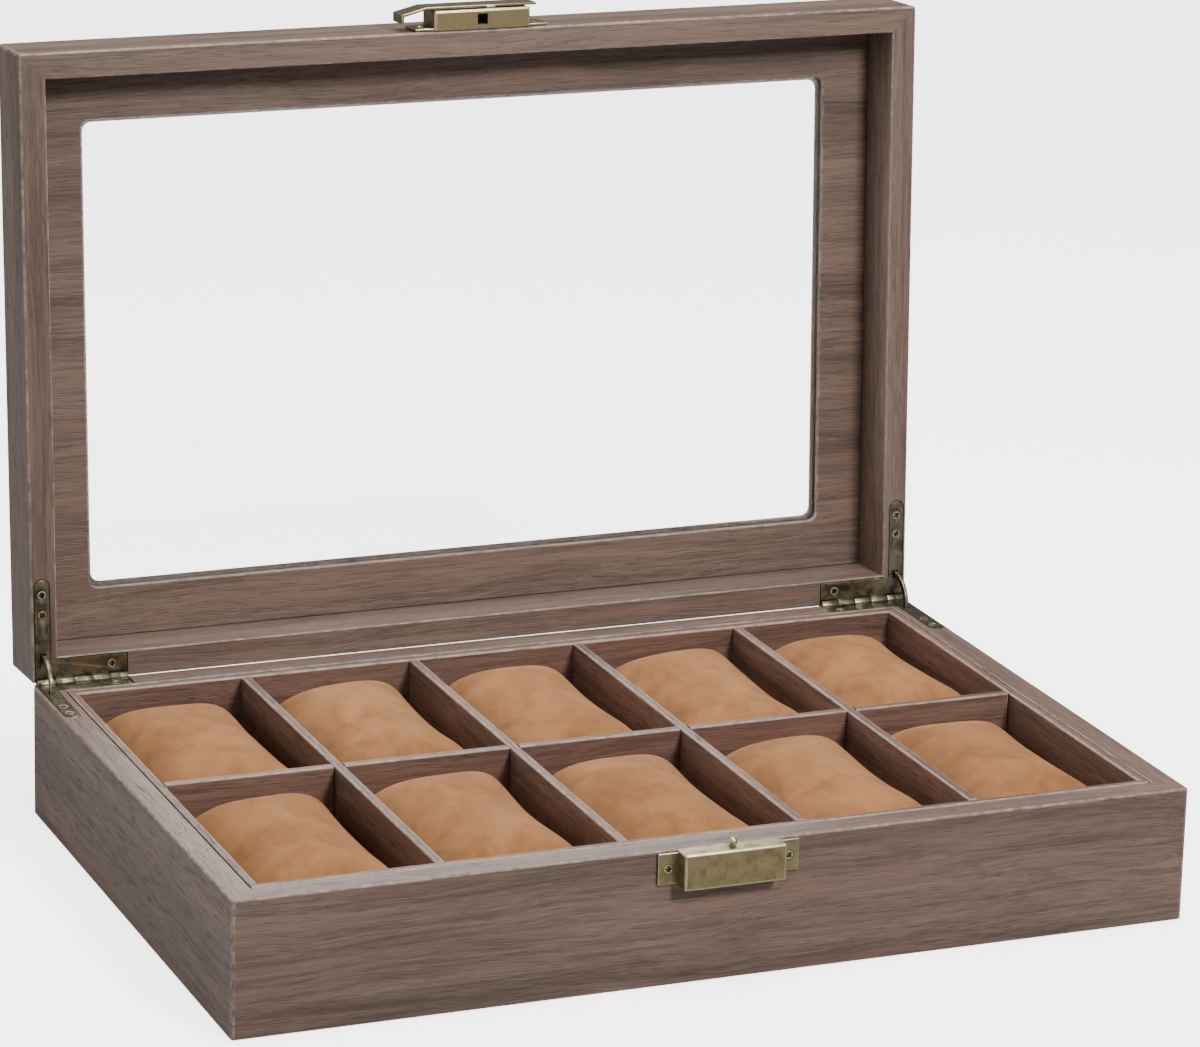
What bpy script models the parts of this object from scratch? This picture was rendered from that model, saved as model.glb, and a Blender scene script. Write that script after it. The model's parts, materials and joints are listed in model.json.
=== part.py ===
"""Ten-compartment watch box with a glazed lid, standing open on its stay hinges.

Metres, +Z up, +X to the right, the front towards -Y. The origin is on the underside, below the
middle of the tray. Pieces of the lid are placed as they lie when it is shut, in the frame of an
empty on the hinge axis, and that empty is turned to hold the lid open.
"""

import math

import bmesh
import bpy

# Casing
WIDTH = 0.305
DEPTH = 0.201
RIM = 0.0425
WALL = 0.0084
LID_HEIGHT = 0.0235
LID_GAP = 0.0003
OPEN_ANGLE = math.radians(93.0)
GAP = 0.0003
MITRE_GAP = 0.0002
OVERSHOOT = 0.001
BOTTOM = 0.003
LINING = 0.0012

# Tray
GROOVE = 0.0005
LINER = 0.0025
DIVIDER = 0.003
COLUMNS = 5

# Window
PANEL = 0.005
WINDOW_MARGIN = 0.0248
WINDOW_CORNER = 0.003
REBATE = 0.004
PANEL_LIP = 0.0018
GLASS = 0.0016
BEAD = 0.001
BEAD_LIP = 0.0013

# Hinges
LEAF = 0.001
LEG_START = 0.0012
SIDE_LEG_WIDTH = 0.0048
SIDE_LEG = 0.034
BACK_LEG = 0.030
BACK_LEG_WIDTH = 0.0077
AXIS_OUT = 0.0001
BARREL_RADIUS = 0.0017
BORE_RADIUS = 0.00095
PIN_RADIUS = 0.00065
TAB_END = 0.0011
KNUCKLES = 5
STAY_RADIUS = 0.0085
STAY_HALF_WIDTH = 0.0011
STAY_HALF_THICKNESS = 0.0005
LUG_HALF_WIDTH = 0.0018
STAY_RETAINED = math.radians(18.0)
LUG_ANGLE = math.radians(4.0)
SCREW_FIT = 0.0002
SCREW_LENGTH = 0.007
SCREW_HEAD = 0.00145
SCREW_CONE = 0.00085
SCREW_SHANK = 0.00075
SIDE_SCREWS = (0.0290, 0.0225)
BACK_SCREW = 0.0262
LEAF_END_STEPS = 8
STAY_STEPS = 10

# Latch
CASE_WIDTH = 0.0325
CASE_HEIGHT = 0.0114
CASE_OUT = 0.0063
CASE_WALL = 0.0008
TAB_REACH = 0.0225
TAB_SCREW = 0.0192
STUD_RADIUS = 0.0013
STUD_NECK = 0.0008
STUD_FLANGE = 0.0016
STUD_STEPS = 6
MOUTH_ROOM = 0.0004
TONGUE_ROOM = 0.0005
TONGUE_LENGTH = 0.003
SLIDE_TRAVEL = 0.0025
SLIDE_BEND = 0.0022
SLIDE_END = 0.0026
THUMB_REACH = 0.0105
THUMB_DROP = 0.0020
THUMB_FOLD = 0.0022
STRIP_LOW = 0.0015
STRIP_HIGH = 0.0012

# Pillows
PILLOW_WIDTH = 0.0488
PILLOW_DEPTH = 0.085
PILLOW_HEIGHT = 0.0385
PILLOW_PULL = 0.04
PILLOW_CROWN = (0.20, 0.16)
PILLOW_DRAW = (0.07, 0.05)

FLOOR_TOP = BOTTOM + GAP + LINING
TRAY_BOTTOM = FLOOR_TOP + GAP
INNER_WIDTH = WIDTH - 2 * (WALL + GROOVE + LINER)
INNER_DEPTH = DEPTH - 2 * (WALL + GROOVE + LINER)
CELL_WIDTH = (INNER_WIDTH - (COLUMNS - 1) * DIVIDER) / COLUMNS
CELL_DEPTH = (INNER_DEPTH - DIVIDER) / 2
AXIS_Y = DEPTH / 2 + AXIS_OUT
AXIS_Z = RIM + LID_GAP / 2
LID_BOTTOM = RIM + LID_GAP
LID_TOP = LID_BOTTOM + LID_HEIGHT
STAY_INSET = LEG_START + SIDE_LEG_WIDTH / 2
SIDES = (("front", 0), ("right", 90), ("back", 180), ("left", 270))
HANDS = (("left", -1), ("right", 1))


def clear_scene():
    """Remove whatever the file opened with."""
    for obj in list(bpy.data.objects):
        bpy.data.objects.remove(obj, do_unlink=True)


def new_collection(name, parent):
    """A collection linked under its parent."""
    collection = bpy.data.collections.new(name)
    parent.children.link(collection)
    return collection


def new_material(name, colour, roughness, metallic=0.0, alpha=1.0):
    """A Principled material in one colour."""
    material = bpy.data.materials.new(name)
    material.use_nodes = True
    shader = material.node_tree.nodes["Principled BSDF"]
    shader.inputs["Base Color"].default_value = (*colour, 1.0)
    shader.inputs["Roughness"].default_value = roughness
    shader.inputs["Metallic"].default_value = metallic
    shader.inputs["Alpha"].default_value = alpha
    material.diffuse_color = (*colour, alpha)
    return material


clear_scene()
PARTS = new_collection("watch_box", bpy.context.scene.collection)
CUTTERS = new_collection("watch_box_cutters", bpy.context.scene.collection)
WALNUT = new_material("walnut_covering", (0.165, 0.115, 0.095), 0.55)
LINER_WALNUT = new_material("walnut_lining", (0.110, 0.062, 0.050), 0.60)
SUEDE = new_material("tan_suede", (0.456, 0.223, 0.102), 0.95)
BRONZE = new_material("hinge_bronze", (0.110, 0.095, 0.055), 0.40, metallic=1.0)
BRASS = new_material("latch_brass", (0.380, 0.320, 0.180), 0.35, metallic=1.0)
CLEAR_GLASS = new_material("window_glass", (0.9, 0.95, 0.95), 0.05, alpha=0.25)
DARK_BEAD = new_material("glazing_bead", (0.030, 0.025, 0.022), 0.50)


def add_empty(name, location, angle=0.0):
    """An empty on the hinge axis, turned about X."""
    empty = bpy.data.objects.new(name, None)
    empty.location = location
    empty.rotation_euler = (angle, 0.0, 0.0)
    PARTS.objects.link(empty)
    return empty


LID_AXIS = add_empty("lid_hinge_axis", (0.0, AXIS_Y, AXIS_Z), -OPEN_ANGLE)


def place(obj, centre, material=None, parent=None, turn=(0.0, 0.0, 0.0)):
    """Link a piece or, without a material, a cutter, at a point given with the lid shut."""
    origin = parent.location if parent else (0.0, 0.0, 0.0)
    obj.parent = parent
    obj.location = [c - o for c, o in zip(centre, origin)]
    obj.rotation_euler = turn
    if material:
        obj.data.materials.append(material)
        PARTS.objects.link(obj)
    else:
        obj.hide_render = True
        obj.display_type = "WIRE"
        CUTTERS.objects.link(obj)
    return obj


def object_from_bmesh(name, bm):
    """An object that takes over a bmesh."""
    bmesh.ops.recalc_face_normals(bm, faces=bm.faces)
    mesh = bpy.data.meshes.new(name)
    bm.to_mesh(mesh)
    bm.free()
    return bpy.data.objects.new(name, mesh)


def add_box(name, low, high, material=None, parent=None):
    """A box between two corners, with its origin at its centre."""
    bm = bmesh.new()
    bmesh.ops.create_cube(bm, size=1.0)
    bmesh.ops.scale(bm, vec=[h - l for l, h in zip(low, high)], verts=bm.verts)
    obj = object_from_bmesh(name, bm)
    return place(obj, [(l + h) / 2 for l, h in zip(low, high)], material, parent)


def add_cylinder(name, centre, radius, length, material=None, parent=None, segments=24):
    """A cylinder along X."""
    bm = bmesh.new()
    bmesh.ops.create_cone(
        bm, cap_ends=True, segments=segments, radius1=radius, radius2=radius, depth=length
    )
    obj = object_from_bmesh(name, bm)
    obj.data.shade_smooth()
    obj.data.set_sharp_from_angle(angle=math.radians(40))
    return place(obj, centre, material, parent, turn=(0.0, math.pi / 2, 0.0))


def add_turned(name, profile, centre, material=None, parent=None, turn=(0.0, 0.0, 0.0), steps=12):
    """A turned piece about Z from (radius, height) points that run down its outer side."""
    mesh = bpy.data.meshes.new(name)
    points = [(radius, 0.0, height) for radius, height in profile]
    mesh.from_pydata(points, [(i, i + 1) for i in range(len(points) - 1)], [])
    obj = bpy.data.objects.new(name, mesh)
    screw = obj.modifiers.new("turned", "SCREW")
    screw.steps = steps
    screw.render_steps = steps
    screw.use_merge_vertices = True
    screw.merge_threshold = 0.00001
    screw.use_smooth_shade = True
    return place(obj, centre, material, parent, turn)


def plate_mesh(name, outline, thickness):
    """A flat plate in the XY plane: a filled 2D curve with depth, made a closed mesh."""
    curve = bpy.data.curves.new(name, "CURVE")
    curve.dimensions = "2D"
    curve.fill_mode = "BOTH"
    curve.extrude = thickness / 2
    spline = curve.splines.new("POLY")
    spline.points.add(len(outline) - 1)
    for point, (x, y) in zip(spline.points, outline):
        point.co = (x, y, 0.0, 1.0)
    spline.use_cyclic_u = True
    flat = bpy.data.objects.new(name, curve)
    CUTTERS.objects.link(flat)
    graph = bpy.context.evaluated_depsgraph_get()
    mesh = bpy.data.meshes.new_from_object(flat.evaluated_get(graph))
    bpy.data.objects.remove(flat)
    bpy.data.curves.remove(curve)
    bm = bmesh.new()
    bm.from_mesh(mesh)
    bpy.data.meshes.remove(mesh)
    bmesh.ops.remove_doubles(bm, verts=bm.verts, dist=0.000001)
    return object_from_bmesh(name, bm)


def shape_with(obj, operation, others):
    """Join or cut a piece with the objects of a collection of its own."""
    if not others:
        return
    group = new_collection(f"{obj.name}_{operation.lower()}", CUTTERS)
    for other in others:
        group.objects.link(other)
    modifier = obj.modifiers.new(operation.lower(), "BOOLEAN")
    modifier.operation = operation
    modifier.operand_type = "COLLECTION"
    modifier.collection = group
    modifier.solver = "EXACT"


def mitred_board(name, length, thickness, height):
    """A board along X whose ends are mitred towards its inner side, +Y."""
    bm = bmesh.new()
    bmesh.ops.create_cube(bm, size=1.0)
    bmesh.ops.scale(bm, vec=(length, thickness, height), verts=bm.verts)
    inner = [vert for vert in bm.verts if vert.co.y > 0]
    bmesh.ops.scale(bm, vec=(1.0 - 2.0 * thickness / length, 1.0, 1.0), verts=inner)
    return object_from_bmesh(name, bm)


def add_frame(pattern, width, depth, thickness, bottom, top, material, parent=None):
    """Four mitred boards round a rectangle, by side."""
    boards = {}
    for side, degrees in SIDES:
        angle = math.radians(degrees)
        along_x = side in ("front", "back")
        length = (width if along_x else depth) - 2 * MITRE_GAP
        reach = ((depth if along_x else width) - thickness) / 2
        board = mitred_board(pattern.format(side), length, thickness, top - bottom)
        centre = (math.sin(angle) * reach, -math.cos(angle) * reach, (bottom + top) / 2)
        boards[side] = place(board, centre, material, parent, turn=(0.0, 0.0, angle))
    return boards


def make_casing():
    """The base's four walls, its bottom board and the lining on it."""
    walls = add_frame("base_{}_wall", WIDTH, DEPTH, WALL, 0.0, RIM, WALNUT)
    half_x = WIDTH / 2 - WALL - GAP
    half_y = DEPTH / 2 - WALL - GAP
    add_box("base_bottom_board", (-half_x, -half_y, 0.0), (half_x, half_y, BOTTOM), WALNUT)
    low = (-half_x, -half_y, BOTTOM + GAP)
    add_box("tray_floor_lining", low, (half_x, half_y, FLOOR_TOP), LINER_WALNUT)
    return walls


def make_tray():
    """The thin liner inside the casing, behind its groove, and the halved dividers."""
    outer_x = WIDTH - 2 * (WALL + GROOVE)
    outer_y = DEPTH - 2 * (WALL + GROOVE)
    add_frame("tray_{}_liner", outer_x, outer_y, LINER, TRAY_BOTTOM, RIM, LINER_WALNUT)
    half_x = INNER_WIDTH / 2 - GAP
    half_y = INNER_DEPTH / 2 - GAP
    half = DIVIDER / 2
    halving = (TRAY_BOTTOM + RIM) / 2
    low = (-half_x, -half, TRAY_BOTTOM)
    long_divider = add_box("long_divider", low, (half_x, half, RIM), LINER_WALNUT)
    notches = []
    for number in range(1, COLUMNS):
        x = -INNER_WIDTH / 2 + number * CELL_WIDTH + (number - 0.5) * DIVIDER
        low = (x - half, -half_y, TRAY_BOTTOM)
        high = (x + half, half_y, RIM)
        cross = add_box(f"cross_divider_{number}", low, high, LINER_WALNUT)
        low = (x - half - GAP, -half - GAP, halving - GAP / 2)
        high = (x + half + GAP, half + GAP, RIM + GAP)
        notches.append(add_box(f"long_divider_notch_{number}", low, high))
        low = (x - half - GAP, -half - GAP, TRAY_BOTTOM - GAP)
        high = (x + half + GAP, half + GAP, halving + GAP / 2)
        notch = add_box(f"cross_divider_notch_{number}", low, high)
        shape_with(cross, "DIFFERENCE", [notch])
    shape_with(long_divider, "DIFFERENCE", notches)


def rounded_cutter(name, half_x, half_y, low_z, high_z, parent):
    """A box cutter with rounded upright edges."""
    low = (-half_x, -half_y, low_z)
    cutter = add_box(name, low, (half_x, half_y, high_z), parent=parent)
    weights = cutter.data.attributes.new("bevel_weight_edge", "FLOAT", "EDGE")
    for edge in cutter.data.edges:
        ends = [cutter.data.vertices[i].co for i in edge.vertices]
        weights.data[edge.index].value = float(abs(ends[0].z - ends[1].z) > abs(low_z - high_z) / 2)
    bevel = cutter.modifiers.new("rounded", "BEVEL")
    bevel.limit_method = "WEIGHT"
    bevel.width = WINDOW_CORNER
    bevel.segments = 4
    return cutter


def make_lid():
    """The lid's walls, its window panel, the glass and the bead that holds it."""
    walls = add_frame("lid_{}_wall", WIDTH, DEPTH, WALL, LID_BOTTOM, LID_TOP, WALNUT, LID_AXIS)
    half_x = WIDTH / 2 - WALL - GAP
    half_y = DEPTH / 2 - WALL - GAP
    low = (-half_x, -half_y, LID_TOP - PANEL)
    panel = add_box("lid_window_panel", low, (half_x, half_y, LID_TOP), WALNUT, LID_AXIS)
    sight_x = WIDTH / 2 - WINDOW_MARGIN
    sight_y = DEPTH / 2 - WINDOW_MARGIN
    seat = LID_TOP - PANEL + PANEL_LIP
    below = LID_TOP - PANEL - OVERSHOOT
    above = LID_TOP + OVERSHOOT
    opening = rounded_cutter("window_opening", sight_x, sight_y, below, above, LID_AXIS)
    low = (-sight_x - REBATE, -sight_y - REBATE, seat)
    high = (sight_x + REBATE, sight_y + REBATE, above)
    rebate = add_box("glass_rebate", low, high, parent=LID_AXIS)
    shape_with(panel, "DIFFERENCE", [opening, rebate])
    edge_x = sight_x + REBATE - GAP
    edge_y = sight_y + REBATE - GAP
    glass_top = seat + GAP + GLASS
    low = (-edge_x, -edge_y, seat + GAP)
    add_box("glass_pane", low, (edge_x, edge_y, glass_top), CLEAR_GLASS, LID_AXIS)
    low = (-edge_x, -edge_y, glass_top + GAP)
    high = (edge_x, edge_y, glass_top + GAP + BEAD)
    bead = add_box("glass_bead", low, high, DARK_BEAD, LID_AXIS)
    clear_x = sight_x - BEAD_LIP
    clear_y = sight_y - BEAD_LIP
    sight = rounded_cutter("bead_opening", clear_x, clear_y, seat, above, LID_AXIS)
    shape_with(bead, "DIFFERENCE", [sight])
    return walls


def hinge_x(hand, inset):
    """World x of a point that far in from the box's side face."""
    return hand * (WIDTH / 2 - inset)


def leaf_outline(hand, own=(), margin=0.0, edge_y=AXIS_Y - BARREL_RADIUS - GAP):
    """An L in plan: a side leg with a round end, a back leg, and tabs at its own knuckles."""
    near = LEG_START - margin
    inner = LEG_START + SIDE_LEG_WIDTH + margin
    far = LEG_START + BACK_LEG + margin
    end_radius = SIDE_LEG_WIDTH / 2 + margin
    end_y = AXIS_Y - SIDE_LEG + SIDE_LEG_WIDTH / 2
    inner_y = AXIS_Y - BACK_LEG_WIDTH - margin
    points = []
    for step in range(LEAF_END_STEPS + 1):
        angle = math.pi + math.pi * step / LEAF_END_STEPS
        x = STAY_INSET + end_radius * math.cos(angle)
        points.append((x, end_y + end_radius * math.sin(angle)))
    points += [(inner, inner_y), (far, inner_y), (far, edge_y)]
    pitch = BACK_LEG / KNUCKLES
    for number in reversed(range(KNUCKLES)):
        if number not in own:
            continue
        start = LEG_START + number * pitch + GAP / 2
        end = start + pitch - GAP
        tab_y = AXIS_Y - TAB_END
        points += [(end, edge_y), (end, tab_y), (start, tab_y), (start, edge_y)]
    points.append((near, edge_y))
    return [(hinge_x(hand, x), y) for x, y in points]


def screw_profile(margin=0.0, above=0.0):
    """A countersunk wood screw with its head's top at height 0; a margin makes its clearance."""
    head = SCREW_HEAD + margin
    shank = SCREW_SHANK + margin
    points = [(0.0, above)]
    if above:
        points.append((head, above))
    points += [
        (head, -margin),
        (shank, -SCREW_CONE - margin),
        (shank, -SCREW_LENGTH + 2 * SCREW_SHANK),
        (0.0, -SCREW_LENGTH - margin),
    ]
    return points


def add_screw(name, centre, turn, parent, material):
    """A screw and the cutter that makes room for it."""
    add_turned(name, screw_profile(), centre, material, parent, turn)
    roomy = screw_profile(SCREW_FIT, OVERSHOOT)
    return add_turned(f"{name}_hole", roomy, centre, parent=parent, turn=turn)


def hinge_screws(hand_name, hand, part, face_z, turn, parent):
    """The three screws of one leaf, and their holes: two in the side leg, one in the back leg."""
    back_y = AXIS_Y - (BACK_LEG_WIDTH + BARREL_RADIUS) / 2
    places = [(STAY_INSET, AXIS_Y - distance) for distance in SIDE_SCREWS]
    places.append((BACK_SCREW, back_y))
    holes = []
    for number, (inset, y) in enumerate(places, start=1):
        name = f"hinge_{hand_name}_{part}_screw_{number}"
        centre = (hinge_x(hand, inset), y, face_z)
        holes.append(add_screw(name, centre, turn, parent, BRONZE))
    return holes


def make_leaf(hand_name, hand, part, walls, parent):
    """One L-shaped hinge leaf let into the rim, with its knuckles, slot, screws and recess."""
    in_base = part == "base"
    low_z = RIM - LEAF if in_base else LID_BOTTOM
    face_z = RIM if in_base else LID_BOTTOM
    own = (0, 2, 4) if in_base else (1, 3)
    turn = (0.0, 0.0, 0.0) if in_base else (math.pi, 0.0, 0.0)
    name = f"hinge_{hand_name}_{part}_leaf"
    middle_z = low_z + LEAF / 2
    leaf = plate_mesh(name, leaf_outline(hand, own), LEAF)
    place(leaf, (0.0, 0.0, middle_z), BRONZE, parent)
    pitch = BACK_LEG / KNUCKLES
    knuckles = []
    for number in own:
        centre = (hinge_x(hand, LEG_START + (number + 0.5) * pitch), AXIS_Y, AXIS_Z)
        knuckle = f"{name}_knuckle_{number}"
        knuckles.append(add_cylinder(knuckle, centre, BARREL_RADIUS, pitch - GAP, parent=parent))
    shape_with(leaf, "UNION", knuckles)
    barrel_centre = (hinge_x(hand, LEG_START + BACK_LEG / 2), AXIS_Y, AXIS_Z)
    bore = add_cylinder(f"{name}_bore", barrel_centre, BORE_RADIUS, BACK_LEG * 1.1, parent=parent)
    stay_x = hinge_x(hand, STAY_INSET)
    half_slot = STAY_HALF_THICKNESS + SCREW_FIT * 2
    reach = STAY_HALF_WIDTH + GAP
    slot = add_box(
        f"{name}_slot",
        (stay_x - half_slot, AXIS_Y - STAY_RADIUS - reach, low_z - GAP),
        (stay_x + half_slot, AXIS_Y - STAY_RADIUS + reach, low_z + LEAF + GAP),
        parent=parent,
    )
    screws = hinge_screws(hand_name, hand, part, face_z, turn, parent)
    shape_with(leaf, "DIFFERENCE", [bore, slot, *screws])
    recess_top = face_z + GAP if in_base else low_z + LEAF + GAP
    recess_low = low_z - GAP if in_base else face_z - GAP
    outline = leaf_outline(hand, margin=GAP, edge_y=DEPTH / 2 + OVERSHOOT)
    recess = plate_mesh(f"{name}_recess", outline, recess_top - recess_low)
    place(recess, (0.0, 0.0, (recess_low + recess_top) / 2), parent=parent)
    relief = add_cylinder(
        f"{name}_relief", barrel_centre, BARREL_RADIUS + GAP, BACK_LEG + 2 * GAP, parent=parent
    )
    sweep = STAY_RETAINED + OPEN_ANGLE / 2
    lug = STAY_RADIUS + LUG_HALF_WIDTH
    deep = lug * math.sin(sweep) + GAP
    near_axis = (STAY_RADIUS - LUG_HALF_WIDTH) * math.cos(sweep) - GAP
    pocket = add_box(
        f"{name}_stay_pocket",
        (stay_x - half_slot, AXIS_Y - lug - GAP, AXIS_Z - deep if in_base else face_z - GAP),
        (stay_x + half_slot, AXIS_Y - near_axis, face_z + GAP if in_base else AXIS_Z + deep),
        parent=parent,
    )
    walls[hand_name][1].extend([recess, pocket, screws[0], screws[1]])
    walls["back"][1].extend([recess, relief, pocket, screws[2]])


def stay_outline():
    """An arc about the hinge axis with a lug at each end, in the plane that the lid turns in."""
    start = -STAY_RETAINED
    end = OPEN_ANGLE + STAY_RETAINED
    inner_lug = start + LUG_ANGLE
    outer_lug = end - LUG_ANGLE
    span = outer_lug - inner_lug
    arc = [inner_lug + span * i / STAY_STEPS for i in range(STAY_STEPS + 1)]
    steps = [start, inner_lug, *arc, outer_lug, end]
    lug = [LUG_HALF_WIDTH] * 2
    halves = [*lug, *[STAY_HALF_WIDTH] * len(arc), *lug]
    outer = [polar(STAY_RADIUS + half, angle) for half, angle in zip(halves, steps)]
    inner = [polar(STAY_RADIUS - half, angle) for half, angle in zip(halves, steps)]
    return outer + inner[::-1]


def polar(radius, angle):
    """A point that far from the axis, turned up from the front."""
    return (-radius * math.cos(angle), radius * math.sin(angle))


def make_hinges(base_walls, lid_walls):
    """Both stay hinges: leaves, pins and the curved stays that stop the lid."""
    base_cuts = {side: (wall, []) for side, wall in base_walls.items()}
    lid_cuts = {side: (wall, []) for side, wall in lid_walls.items()}
    for hand_name, hand in HANDS:
        make_leaf(hand_name, hand, "base", base_cuts, None)
        make_leaf(hand_name, hand, "lid", lid_cuts, LID_AXIS)
        centre = (hinge_x(hand, LEG_START + BACK_LEG / 2), AXIS_Y, AXIS_Z)
        pin = f"hinge_{hand_name}_pin"
        add_cylinder(pin, centre, PIN_RADIUS, BACK_LEG, BRONZE, segments=12)
        stay = plate_mesh(f"hinge_{hand_name}_stay", stay_outline(), 2 * STAY_HALF_THICKNESS)
        turn = (math.pi / 2, 0.0, math.pi / 2)
        place(stay, (hinge_x(hand, STAY_INSET), AXIS_Y, AXIS_Z), BRONZE, turn=turn)
    for cuts in (base_cuts, lid_cuts):
        for wall, cutters in cuts.values():
            shape_with(wall, "DIFFERENCE", list(dict.fromkeys(cutters)))


def latch_case(name, low_z, parent, extra_cuts, walls):
    """A pressed case, open towards the wood, with a screwed tab at each end."""
    face_y = -DEPTH / 2 - SCREW_FIT
    high_z = low_z + CASE_HEIGHT
    half = CASE_WIDTH / 2
    case = add_box(
        name, (-half, face_y - CASE_OUT, low_z), (half, face_y, high_z), BRASS, parent
    )
    tab_low = (-TAB_REACH, face_y - CASE_WALL, low_z + CASE_WALL)
    tab_high = (TAB_REACH, face_y, high_z - CASE_WALL)
    tabs = add_box(f"{name}_tabs", tab_low, tab_high, parent=parent)
    shape_with(case, "UNION", [tabs])
    hollow = add_box(
        f"{name}_hollow",
        (-half + CASE_WALL, face_y - CASE_OUT + CASE_WALL, low_z + CASE_WALL),
        (half - CASE_WALL, face_y + GAP, high_z - CASE_WALL),
        parent=parent,
    )
    holes = []
    for hand_name, hand in HANDS:
        centre = (hand * TAB_SCREW, face_y - CASE_WALL, (low_z + high_z) / 2)
        turn = (math.pi / 2, 0.0, 0.0)
        screw = f"{name.replace('_case', '')}_screw_{hand_name}"
        holes.append(add_screw(screw, centre, turn, parent, BRASS))
    shape_with(case, "DIFFERENCE", [hollow, *holes, *extra_cuts])
    shape_with(walls["front"], "DIFFERENCE", holes)


def stud_profile():
    """A ball on a neck, riveted under the case's top by a flange."""
    ball_z = STUD_RADIUS + GAP
    span = math.pi - math.asin(STUD_NECK / STUD_RADIUS)
    angles = [span * i / STUD_STEPS for i in range(STUD_STEPS + 1)]
    points = [(STUD_RADIUS * math.sin(a), ball_z + STUD_RADIUS * math.cos(a)) for a in angles]
    flange_top = -CASE_WALL - GAP
    flange_low = flange_top - LEAF / 2
    points += [(STUD_NECK, flange_top), (STUD_FLANGE, flange_top), (STUD_FLANGE, flange_low)]
    points.append((0.0, flange_low))
    return points


def slide_outline():
    """The release slide in plan: a strip across the case's front, its left end folded in twice."""
    front = -DEPTH / 2 - SCREW_FIT - CASE_OUT - GAP
    half = CASE_WIDTH / 2
    bend = -half - SLIDE_BEND
    tip = -half - THUMB_REACH
    right = half + SLIDE_END
    back = front + THUMB_DROP
    return [
        (right, front),
        (bend, front),
        (tip + CASE_WALL, back),
        (tip + CASE_WALL, back + THUMB_FOLD),
        (tip, back + THUMB_FOLD),
        (tip, back - CASE_WALL),
        (bend, front - CASE_WALL),
        (right, front - CASE_WALL),
    ]


def make_latch(base_walls, lid_walls):
    """The stud half on the base, the catch half on the lid and its sprung release slide."""
    stud_y = -DEPTH / 2 - SCREW_FIT - CASE_OUT / 2
    neck_room = STUD_NECK + GAP
    low = (-neck_room, stud_y - neck_room, RIM - CASE_WALL - GAP)
    stud_hole = add_box("stud_hole", low, (neck_room, stud_y + neck_room, RIM + GAP))
    latch_case("latch_base_case", RIM - CASE_HEIGHT, None, [stud_hole], base_walls)
    add_turned("latch_stud", stud_profile(), (0.0, stud_y, RIM), BRASS, steps=16)
    mouth = STUD_RADIUS + MOUTH_ROOM
    mouth_hole = add_box(
        "stud_mouth",
        (-mouth, stud_y - mouth, LID_BOTTOM - GAP),
        (mouth, stud_y + mouth, LID_BOTTOM + CASE_WALL + GAP),
        parent=LID_AXIS,
    )
    tongue_x = STUD_RADIUS + TONGUE_ROOM
    tongue_end = tongue_x + TONGUE_LENGTH
    tongue_low = LID_BOTTOM + CASE_WALL + GAP
    tongue_high = tongue_low + CASE_WALL
    front = -DEPTH / 2 - SCREW_FIT - CASE_OUT
    slide_slot = add_box(
        "slide_slot",
        (tongue_x - GAP, front - GAP, tongue_low - GAP),
        (tongue_end + SLIDE_TRAVEL + GAP, front + CASE_WALL + GAP, tongue_high + GAP),
        parent=LID_AXIS,
    )
    latch_case("latch_lid_case", LID_BOTTOM, LID_AXIS, [mouth_hole, slide_slot], lid_walls)
    strip_low = LID_BOTTOM + STRIP_LOW
    strip_high = LID_BOTTOM + CASE_HEIGHT - STRIP_HIGH
    slide = plate_mesh("latch_release_slide", slide_outline(), strip_high - strip_low)
    place(slide, (0.0, 0.0, (strip_low + strip_high) / 2), BRASS, LID_AXIS)
    tongue = add_box(
        "slide_tongue",
        (tongue_x, front - GAP - CASE_WALL / 2, tongue_low),
        (tongue_end, stud_y - CASE_WALL, tongue_high),
        parent=LID_AXIS,
    )
    shape_with(slide, "UNION", [tongue])


def pillow_mesh():
    """A crowned cushion: a coarse cage that is pulled in between its corners and rounded over."""
    bm = bmesh.new()
    bmesh.ops.create_cube(bm, size=2.0)
    bmesh.ops.subdivide_edges(bm, edges=bm.edges, cuts=2, use_grid_fill=True)
    for vert in bm.verts:
        u, v, w = vert.co
        pull = 1.0 - PILLOW_PULL * (1.0 - v * v)
        crown = 1.0 - PILLOW_CROWN[0] * u * u - PILLOW_CROWN[1] * v * v
        x = u * pull * (1.0 - PILLOW_DRAW[0] * max(w, 0.0) * abs(u))
        y = v * (1.0 - PILLOW_DRAW[1] * max(w, 0.0) * abs(v))
        z = w * crown if w > 0 else w
        vert.co = (x, y, z)
    bmesh.ops.recalc_face_normals(bm, faces=bm.faces)
    mesh = bpy.data.meshes.new("pillow")
    bm.to_mesh(mesh)
    bm.free()
    return mesh


def fit_pillow(mesh):
    """Scale the cage so that its subdivided surface has the pillow's real size, base at z 0."""
    trial = bpy.data.objects.new("pillow_trial", mesh)
    CUTTERS.objects.link(trial)
    soften(trial)
    graph = bpy.context.evaluated_depsgraph_get()
    rounded = trial.evaluated_get(graph).to_mesh()
    lows = [min(v.co[i] for v in rounded.vertices) for i in range(3)]
    highs = [max(v.co[i] for v in rounded.vertices) for i in range(3)]
    trial.evaluated_get(graph).to_mesh_clear()
    bpy.data.objects.remove(trial)
    size = (PILLOW_WIDTH, PILLOW_DEPTH, PILLOW_HEIGHT)
    shift = (-(lows[0] + highs[0]) / 2, -(lows[1] + highs[1]) / 2, -lows[2])
    scale = [s / (h - l) for s, l, h in zip(size, lows, highs)]
    for vert in mesh.vertices:
        vert.co = [(c + d) * s for c, d, s in zip(vert.co, shift, scale)]
    mesh.shade_smooth()


def soften(obj):
    """One level of subdivision, the same in the viewport and in a render."""
    rounding = obj.modifiers.new("soft", "SUBSURF")
    rounding.levels = 1
    rounding.render_levels = 1


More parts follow.
